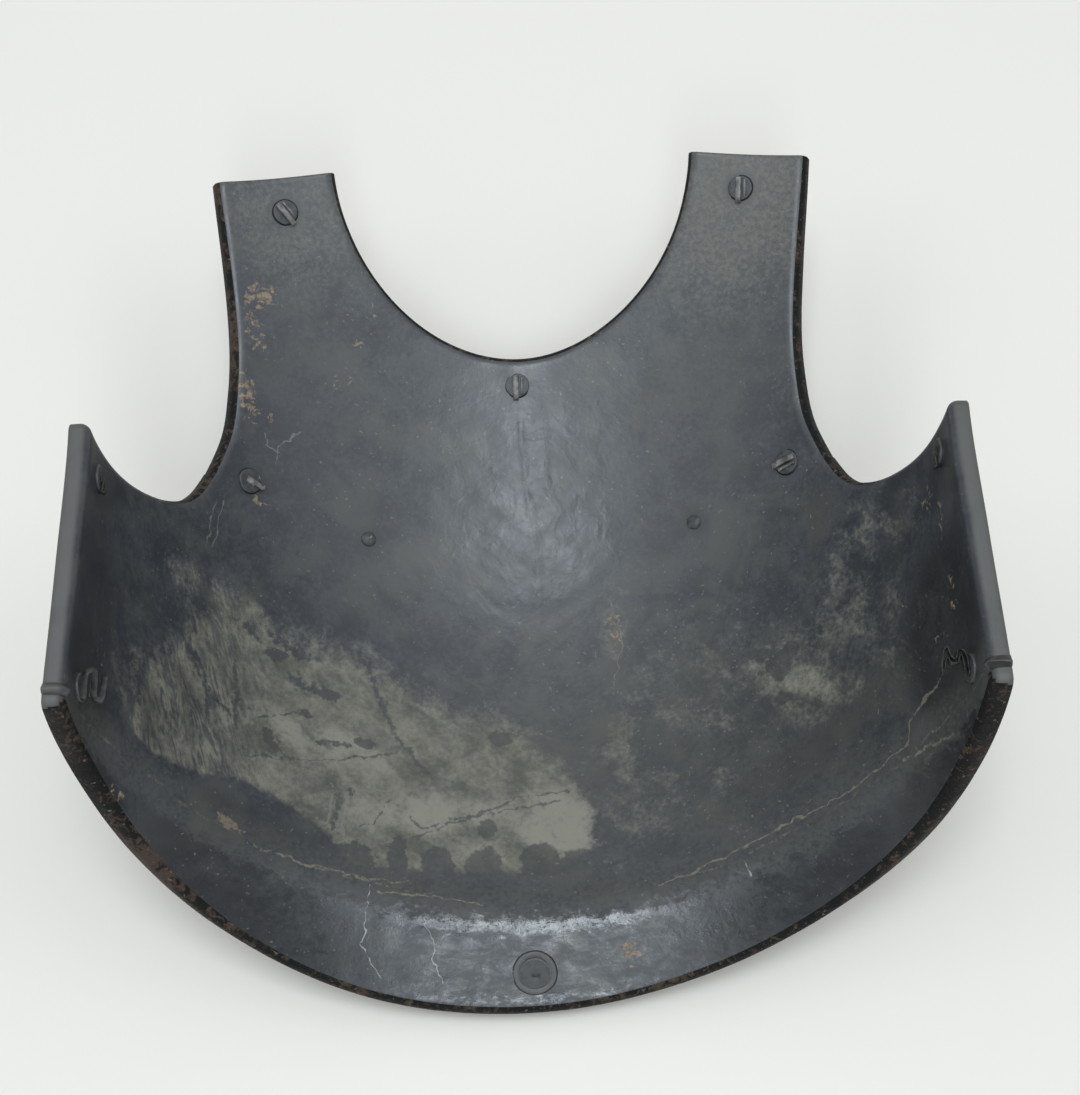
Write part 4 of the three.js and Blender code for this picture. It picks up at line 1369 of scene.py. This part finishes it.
    # Along the bend and the hem: polished streaks near the middle, with a painted highlight laid on them.
    middle = n.ramp(n.math("ABSOLUTE", n.add(across, -4)), 90, 30)
    polish_and_highlight = n.most(n.attribute("bend"), n.product(n.attribute("hem"), 0.85))
    polish_and_highlight = n.product(n.ramp(n.add(polish_and_highlight, n.off(torn, 2.4), n.off(grain, 1.0)), 0.5, 1.0), middle)
    rough = n.less(rough, n.product(n.ramp(below, 4, 12), n.ramp(torn, 0.3, 0.7)), 0.35)
    rough = n.less(rough, polish_and_highlight, 0.35)
    colour = n.laid(colour, n.product(polish_and_highlight, n.ramp(grain, 0.3, 0.6)), TINTS["polish_and_highlight"], 0.8)
    # Dirt and painted shade round each fastening.
    soiled_and_shaded = n.ramp(n.add(n.attribute("grime_and_shade"), n.off(grain, 0.8)), 0.15, 0.7)
    return n.laid(colour, soiled_and_shaded, TINTS["grime_and_shade"], 0.55), rough


def scaled_edge():
    """The black scale on the turned rims, with rust pimples and a few bright chips."""
    n = Nodes("scaled_edge")
    place = n.node("ShaderNodeTexCoord", {}, 3)
    crust = n.noise(place, 260, 4, 0.7, 0.5)
    cloud = n.noise(place, 30, 2)
    rusty = n.ramp(n.add(crust, n.off(cloud, 0.5), n.product(n.attribute("left"), 0.07)), 0.50, 0.66)
    colour = n.colours(rusty, TINTS["scale"], TINTS["scale_rust"])
    chips = n.ramp(n.noise(place, 520, 2, 0.6), 0.66, 0.72)
    colour = n.laid(colour, chips, TINTS["chip"], 0.7)
    n.shader.inputs["IOR"].default_value = SCALE_IOR
    return n.finish(colour, n.ramp(crust, 0.3, 0.7, 0.5, 0.85), n.product(crust, 0.7))


# Each fastening's steel, its rust, its least roughness, and how bright it is rubbed and painted with a
# highlight where it stands out.
STEELS = {
    "stud": {
        "dark": (0.034, 0.036, 0.040), "light": (0.066, 0.068, 0.072), "rust": (0.07, 0.055, 0.04),
        "roughness": 0.38, "bright": 0.6,
    },
    "pin": {
        "dark": (0.060, 0.057, 0.054), "light": (0.21, 0.20, 0.19), "rust": (0.13, 0.085, 0.06),
        "roughness": 0.3, "bright": 0.6,
    },
    "wing_pin": {
        "dark": (0.008, 0.008, 0.008), "light": (0.034, 0.032, 0.030), "rust": (0.06, 0.045, 0.033),
        "roughness": 0.4, "bright": 0.25,
    },
    "rivet": {
        "dark": (0.040, 0.042, 0.045), "light": (0.075, 0.077, 0.08), "rust": (0.10, 0.07, 0.05),
        "roughness": 0.4, "bright": 0.6,
    },
}


def fastening_steel(name, dark, light, rust, roughness, bright):
    """Dark hand-worked steel, rubbed and painted with a highlight where it stands out, rusty in places, and
    black with dirt and painted shade next to the plate.
    """
    n = Nodes(name)
    place = n.node("ShaderNodeTexCoord", {}, 3)
    cloud = n.noise(place, 260, 4, 0.6, 0.4)
    grain = n.noise(place, 1100, 3, 0.6)
    colour = n.colours(n.ramp(cloud, 0.35, 0.65), dark, light)
    colour = n.laid(colour, n.ramp(n.noise(place, 420, 4, 0.65), 0.55, 0.68), rust, 0.7)
    pointiness = n.node("ShaderNodeNewGeometry", {}, 7)
    # Rubbed steel and a painted highlight on the edges that stand out.
    colour = n.laid(colour, n.ramp(pointiness, 0.52, 0.6), TINTS["rubbed_and_highlight"], bright)
    # Black dirt and painted shade next to the plate.
    colour = n.laid(colour, n.attribute("low"), TINTS["low"], 0.95)
    height = n.add(n.product(cloud, 0.18), n.product(grain, 0.05))
    return n.finish(colour, n.ramp(cloud, 0.3, 0.7, roughness, roughness + 0.2), height)


def floor_paper():
    n = Nodes("floor_paper")
    place = n.node("ShaderNodeTexCoord", {}, 3)
    colour = n.colours(n.noise(place, 3, 2), TINTS["paper_dark"], TINTS["paper_light"])
    rough = n.ramp(n.noise(place, 40, 3), 0.3, 0.7, 0.75, 0.85)
    return n.finish(colour, rough, n.product(n.noise(place, 700, 2), 0.02))


# ---------------------------------------------------------------- the scene


def make_floor():
    size, level = 4.0, -0.0005
    corners = [(-size, -size, level), (size, -size, level), (size, size, level), (-size, size, level)]
    mesh = bpy.data.meshes.new("floor")
    mesh.from_pydata(corners, [], [(0, 1, 2, 3)])
    mesh.materials.append(floor_paper())
    floor = bpy.data.objects.new("floor", mesh)
    bpy.context.scene.collection.objects.link(floor)


COOL, COOLER, DAYLIGHT = (0.88, 0.95, 1.0), (0.84, 0.93, 1.0), (0.94, 0.98, 1.0)
WORLD_STRENGTH = 0.35
AIM = (0, 0, 0.08)  # the middle of the part
# Name, azimuth, elevation, distance, width, height, watts, colour.
SOFT_LIGHTS = [
    ("overhead_box", -20, 86, 2.4, 0.8, 0.8, 25, COOLER),
    ("front_box", 0, 50, 2.4, 0.42, 1.0, 10.5, COOLER),
    ("side_box_-1", -90, 46, 2.6, 1.5, 1.5, 7, COOL),
    ("side_box_1", 90, 46, 2.6, 1.5, 1.5, 7, COOL),
    ("back_box", 180, 62, 2.6, 3.2, 2.4, 12.5, DAYLIGHT),
]


def soft_light(name, azimuth, elevation, distance, width, height, power, colour):
    """A soft box that faces the part; azimuth 0 is the camera's side."""
    a, e = math.radians(azimuth), math.radians(elevation)
    away = Vector((math.sin(a) * math.cos(e), -math.cos(a) * math.cos(e), math.sin(e)))
    light = bpy.data.lights.new(name, "AREA")
    light.shape = "RECTANGLE"
    light.size, light.size_y = width, height
    light.energy = power
    light.color = colour
    lamp = bpy.data.objects.new(name, light)
    lamp.location = Vector(AIM) + away * distance
    lamp.rotation_euler = away.to_track_quat("Z", "Y").to_euler()
    bpy.context.scene.collection.objects.link(lamp)


def make_lights():
    world = bpy.data.worlds.new("studio")
    bpy.context.scene.world = world
    world.use_nodes = True
    background = world.node_tree.nodes["Background"]
    background.inputs["Color"].default_value = (*DAYLIGHT, 1)
    background.inputs["Strength"].default_value = WORLD_STRENGTH
    for row in SOFT_LIGHTS:
        soft_light(*row)


# The camera's elevation and yaw round its target, its roll, and its distance, in degrees and millimetres.
CAMERA = {"elevation": 67.569, "yaw": -2.407, "roll": 0.637, "distance": 860.5, "target": (7.845, -5.4, 79.4)}
FOCAL_PIXELS = 1865.16  # on a frame whose long side has LONG_SIDE pixels
LONG_SIDE = 1095
SENSOR = 36
NEAREST = 0.05  # metres; what is closer isn't drawn


def make_camera():
    e, yaw, roll = (math.radians(CAMERA[key]) for key in ("elevation", "yaw", "roll"))
    away = Vector((math.sin(yaw) * math.cos(e), -math.cos(yaw) * math.cos(e), math.sin(e)))
    right = (-away).cross(Vector((0, 0, 1))).normalized()
    up = right.cross(-away)
    x = right * math.cos(roll) + up * math.sin(roll)
    y = up * math.cos(roll) - right * math.sin(roll)
    turn = Matrix((x, y, away)).transposed().to_4x4()
    target = Vector(CAMERA["target"]) * MM
    lens = bpy.data.cameras.new("camera")
    lens.sensor_fit = "AUTO"
    lens.sensor_width = SENSOR
    lens.lens = FOCAL_PIXELS * SENSOR / LONG_SIDE
    lens.clip_start = NEAREST
    camera = bpy.data.objects.new("camera", lens)
    camera.matrix_world = Matrix.Translation(target + away * CAMERA["distance"] * MM) @ turn
    bpy.context.scene.collection.objects.link(camera)
    bpy.context.scene.camera = camera


def main():
    bpy.context.scene.view_settings.view_transform = "Standard"
    materials = {
        "outside": blackened_steel("varnish_outside", False, False),
        "inside": blackened_steel("varnish_inside", True, False),
        "marked": blackened_steel("varnish_marked", True, True),
        "edge": scaled_edge(),
    }
    for key, steel in STEELS.items():
        materials[key] = fastening_steel(f"{key}_steel", **steel)
    shift = make_shell(materials)
    make_fastenings(materials, shift)
    make_floor()
    make_lights()
    make_camera()


main()
